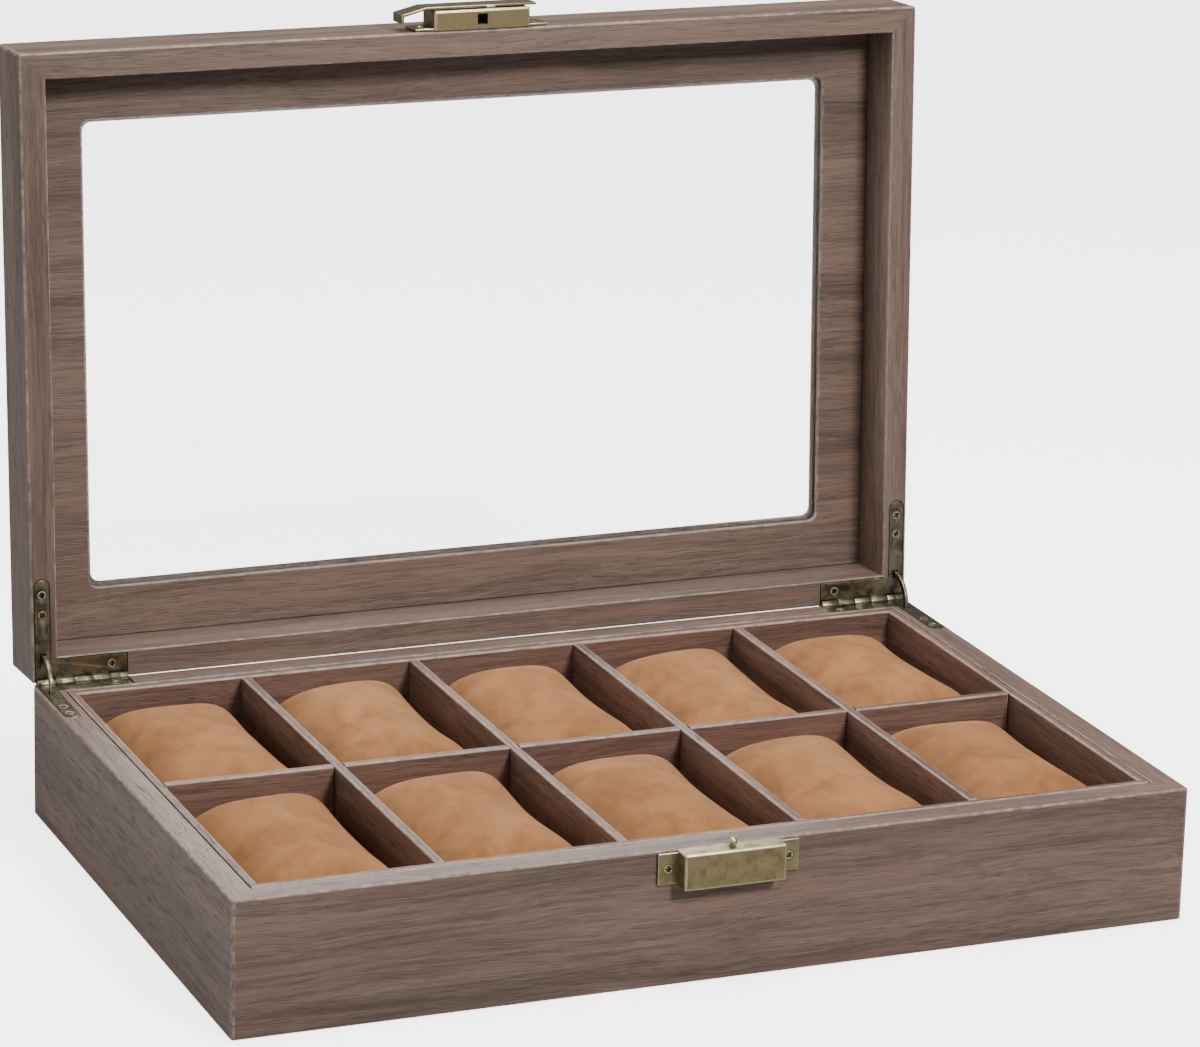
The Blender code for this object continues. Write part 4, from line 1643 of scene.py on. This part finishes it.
@dataclass
class Latch:
    """The front latch: two pressed cases, a stud, the release slide and its screws.

    Args:
        smith: Who makes the metalwork.
        slot: The slot that its finish comes from.
    """

    smith: Metalsmith
    slot: str = "latch_brass"

    def build(self) -> None:
        """Make every piece of the latch."""
        front = np.array([0.0, -1.0, 0.0])
        for half in Half:
            self._case(f"latch_{half.value}_case", half)
            for hand in Hand:
                node = f"latch_{half.value}_screw_{hand.word}"
                self.smith.screw(node, half, front, self.slot, 0.5 * hand.value + 0.3)
        self._stud("latch_stud")
        self.smith.eased("latch_release_slide", Half.LID, "latch_slide", 0.2 * MM, self.slot)

    def _case(self, node: str, half: Half) -> None:
        """A case with rounded edges and flat tabs, kept to its solid's hollow and holes."""
        points = node_points(node, half)
        low, high = ends(points)
        proud = points[points[:, 1] < low[1] + MM / 10]
        box_low, box_high = ends(proud)
        tab = points[np.abs(points[:, 0]) > high[0] - MM / 10]
        hair = 0.01 * MM
        case_low = np.array([box_low[0] + hair, low[1] + hair, box_low[2] + hair])
        case_high = np.array([box_high[0] - hair, high[1] + 1.2 * MM, box_high[2] - hair])
        case = rounded_box(case_low, case_high, 0.75 * MM, 3).mesh(node)
        tab_low, tab_high = ends(tab)
        plate_low = np.array([tab_low[0] + hair, tab_low[1] + hair, tab_low[2] + hair])
        plate_high = np.array([high[0] - hair, tab_high[1] - hair, tab_high[2] - hair])
        plate_low[0] = -plate_high[0]
        plate = rounded_box(plate_low, plate_high, 0.25 * MM, 2).mesh(node)
        mesh = combined(combined(case, "UNION", plate), "INTERSECT", merged_copy(node, half))
        flat = np.abs(vectors(mesh.polygons, "normal")).max(1) > STRAIGHT
        outside = vectors(mesh.polygons, "center")[:, 1] < high[1] - hair
        write_edge(mesh, np.where(~flat & outside, 1.0, 0.0))
        shade(mesh, flat, 30.0)
        self.smith.fitted(node, mesh, half, half.value, self.slot)

    def _stud(self, node: str) -> None:
        """The ball stud: its solid's outline turned again with more points."""
        points = node_points(node)
        low, high = ends(points)
        centre = (low + high) / 2
        radius = np.linalg.norm(points[:, :2] - centre[:2], axis=1)
        ball = radius[points[:, 2] > high[2] - 1.6 * MM].max()
        neck = 0.8 * MM
        join = math.degrees(math.asin(neck / ball))
        head = arc((0.0, high[2] - ball), ball, 88.0, join - 90.0, 10)
        flange = radius.max()
        foot = [[neck, low[2] + 0.5 * MM], [flange, low[2] + 0.5 * MM], [flange, low[2]], [0.1 * MM, low[2]]]
        shell = turned(np.vstack([head, foot]), 24)
        mesh = shell.at(np.eye(3), np.array([centre[0], centre[1], 0.0])).mesh(node)
        # The whole stud takes most of the scuffed colour with its painted highlight.
        write_edge(mesh, np.full(len(mesh.polygons), 0.8))
        shade(mesh)
        self.smith.fitted(node, mesh, Half.BASE, "base", self.slot)


# ------------------------------------------------------------------ studio


@dataclass(frozen=True)
class Softbox:
    """One square light that faces the box.

    Args:
        name: Its name.
        place: Where it stands.
        size: How wide it is.
        power: Its power in watts.
        colour: Its colour.
    """

    name: str
    place: tuple[float, float, float]
    size: float
    power: float
    colour: Colour = (1.0, 1.0, 1.0)

    def light(self, target: Vector) -> None:
        """Put the light in the scene, turned to a target."""
        lamp = bpy.data.lights.new(self.name, "AREA")
        lamp.size = self.size
        lamp.energy = self.power
        lamp.color = self.colour
        holder = bpy.data.objects.new(self.name, lamp)
        holder.location = self.place
        holder.rotation_euler = (target - Vector(self.place)).to_track_quat("-Z", "Y").to_euler()
        bpy.context.scene.collection.objects.link(holder)


@dataclass
class Studio:
    """A pale floor, soft light and the camera.

    Args:
        softboxes: The lights.
        ambient: How much light the surroundings give.
        backdrop: How bright the surroundings look.
        glow: How much brighter the floor looks than its light alone makes it.
        floor_reach: How far the floor reaches each way.
        floor_steps: How many points its grid has each way.
        floor_gap: How far it lies below the box.
        camera_place: Where the camera stands.
        azimuth: How far it looks round from +Y towards +X, in degrees.
        pitch: How far it looks down, in degrees.
        roll: How far it leans, in degrees.
        lens: Its focal length in millimetres on a 36 mm sensor.
    """

    softboxes: tuple[Softbox, ...] = (
        Softbox("key_from_front_right", (0.36, -1.36, 1.08), 0.30, 32.0, (1.0, 0.985, 0.96)),
        Softbox("overhead", (0.05, 0.0, 1.5), 0.9, 30.0),
        Softbox("fill_from_left", (-1.5, 0.2, 0.35), 0.9, 11.0, (0.94, 0.97, 1.0)),
    )
    ambient: float = 0.24
    backdrop: float = 4.0
    glow: float = 3.4
    floor_reach: float = 6.0
    floor_steps: int = 41
    floor_gap: float = 0.2 * MM
    camera_place: tuple[float, float, float] = (-0.5762, -1.3847, 0.5580)
    azimuth: float = 22.54
    pitch: float = 16.59
    roll: float = -1.48
    lens: float = 153.4

    def build(self) -> None:
        """Set up the floor, the surroundings, the lights and the camera."""
        self._floor()
        self._surroundings()
        for softbox in self.softboxes:
            softbox.light(Vector((0.0, 0.0, 0.08)))
        self._camera()

    def _floor(self) -> None:
        """A wide flat pale floor, a hair below the box."""
        steps = np.linspace(-self.floor_reach, self.floor_reach, self.floor_steps)
        x, y = np.meshgrid(steps, steps, indexing="ij")
        z = np.full_like(x, -self.floor_gap)
        shell = grid_shell(np.stack([x, y, z], -1), False, False)
        mesh = bpy.data.meshes.new("studio_floor")
        mesh.from_pydata(shell.points.tolist(), [], shell.faces)
        material, g, shader = new_material("pale_floor")
        paper, bounce = opaque((0.92, 0.92, 0.92)), opaque((0.30, 0.30, 0.30))
        seen = self._seen(g)
        g.put(shader.inputs["Base Color"], g.mixed(seen, bounce, paper))
        shader.inputs["Emission Color"].default_value = paper
        g.put(shader.inputs["Emission Strength"], g.math("MULTIPLY", seen, self.glow))
        shader.inputs["Roughness"].default_value = 0.9
        mesh.materials.append(material)
        floor = bpy.data.objects.new("studio_floor", mesh)
        bpy.context.scene.collection.objects.link(floor)

    @staticmethod
    def _seen(g: Graph) -> bpy.types.NodeSocket:
        """1 where the camera looks, straight or through the glass, and 0 where light only bounces."""
        path = g.node("LightPath").outputs
        return g.math("MAXIMUM", path["Is Camera Ray"], path["Is Transmission Ray"])

    def _surroundings(self) -> None:
        """An even white surrounding, brighter to look at than the light that it gives."""
        world = bpy.data.worlds.new("studio_white")
        world.use_nodes = True
        g = Graph(world.node_tree)
        background = world.node_tree.nodes["Background"]
        background.inputs["Color"].default_value = (1.0, 1.0, 1.0, 1.0)
        strength = g.ranged(self._seen(g), 0.0, 1.0, self.ambient, self.backdrop)
        g.put(background.inputs["Strength"], strength)
        bpy.context.scene.world = world

    def _camera(self) -> None:
        """The camera, turned by its azimuth, pitch and roll."""
        data = bpy.data.cameras.new("studio_camera")
        data.sensor_width = 36.0
        data.lens = self.lens
        data.clip_end = 50.0
        camera = bpy.data.objects.new("studio_camera", data)
        heading = Matrix.Rotation(math.radians(-self.azimuth), 4, "Z")
        looking = Matrix.Rotation(math.radians(90.0 - self.pitch), 4, "X")
        leaning = Matrix.Rotation(math.radians(-self.roll), 4, "Z")
        camera.matrix_world = Matrix.Translation(self.camera_place) @ heading @ looking @ leaning
        bpy.context.scene.collection.objects.link(camera)
        bpy.context.scene.camera = camera


def main() -> None:
    """Build every sub-assembly of the box and the studio round it."""
    logging.basicConfig(level=logging.INFO, format="%(name)s: %(message)s")
    finishes = Finishes()
    joiner = Joiner(finishes)
    smith = Metalsmith(finishes)
    Casing(joiner).build()
    Tray(joiner).build()
    Lid(joiner, finishes).build()
    Cushions(finishes).build()
    for hand in Hand:
        StayHinge(smith, hand).build()
    Latch(smith).build()
    Studio().build()


if __name__ == "__main__":
    main()
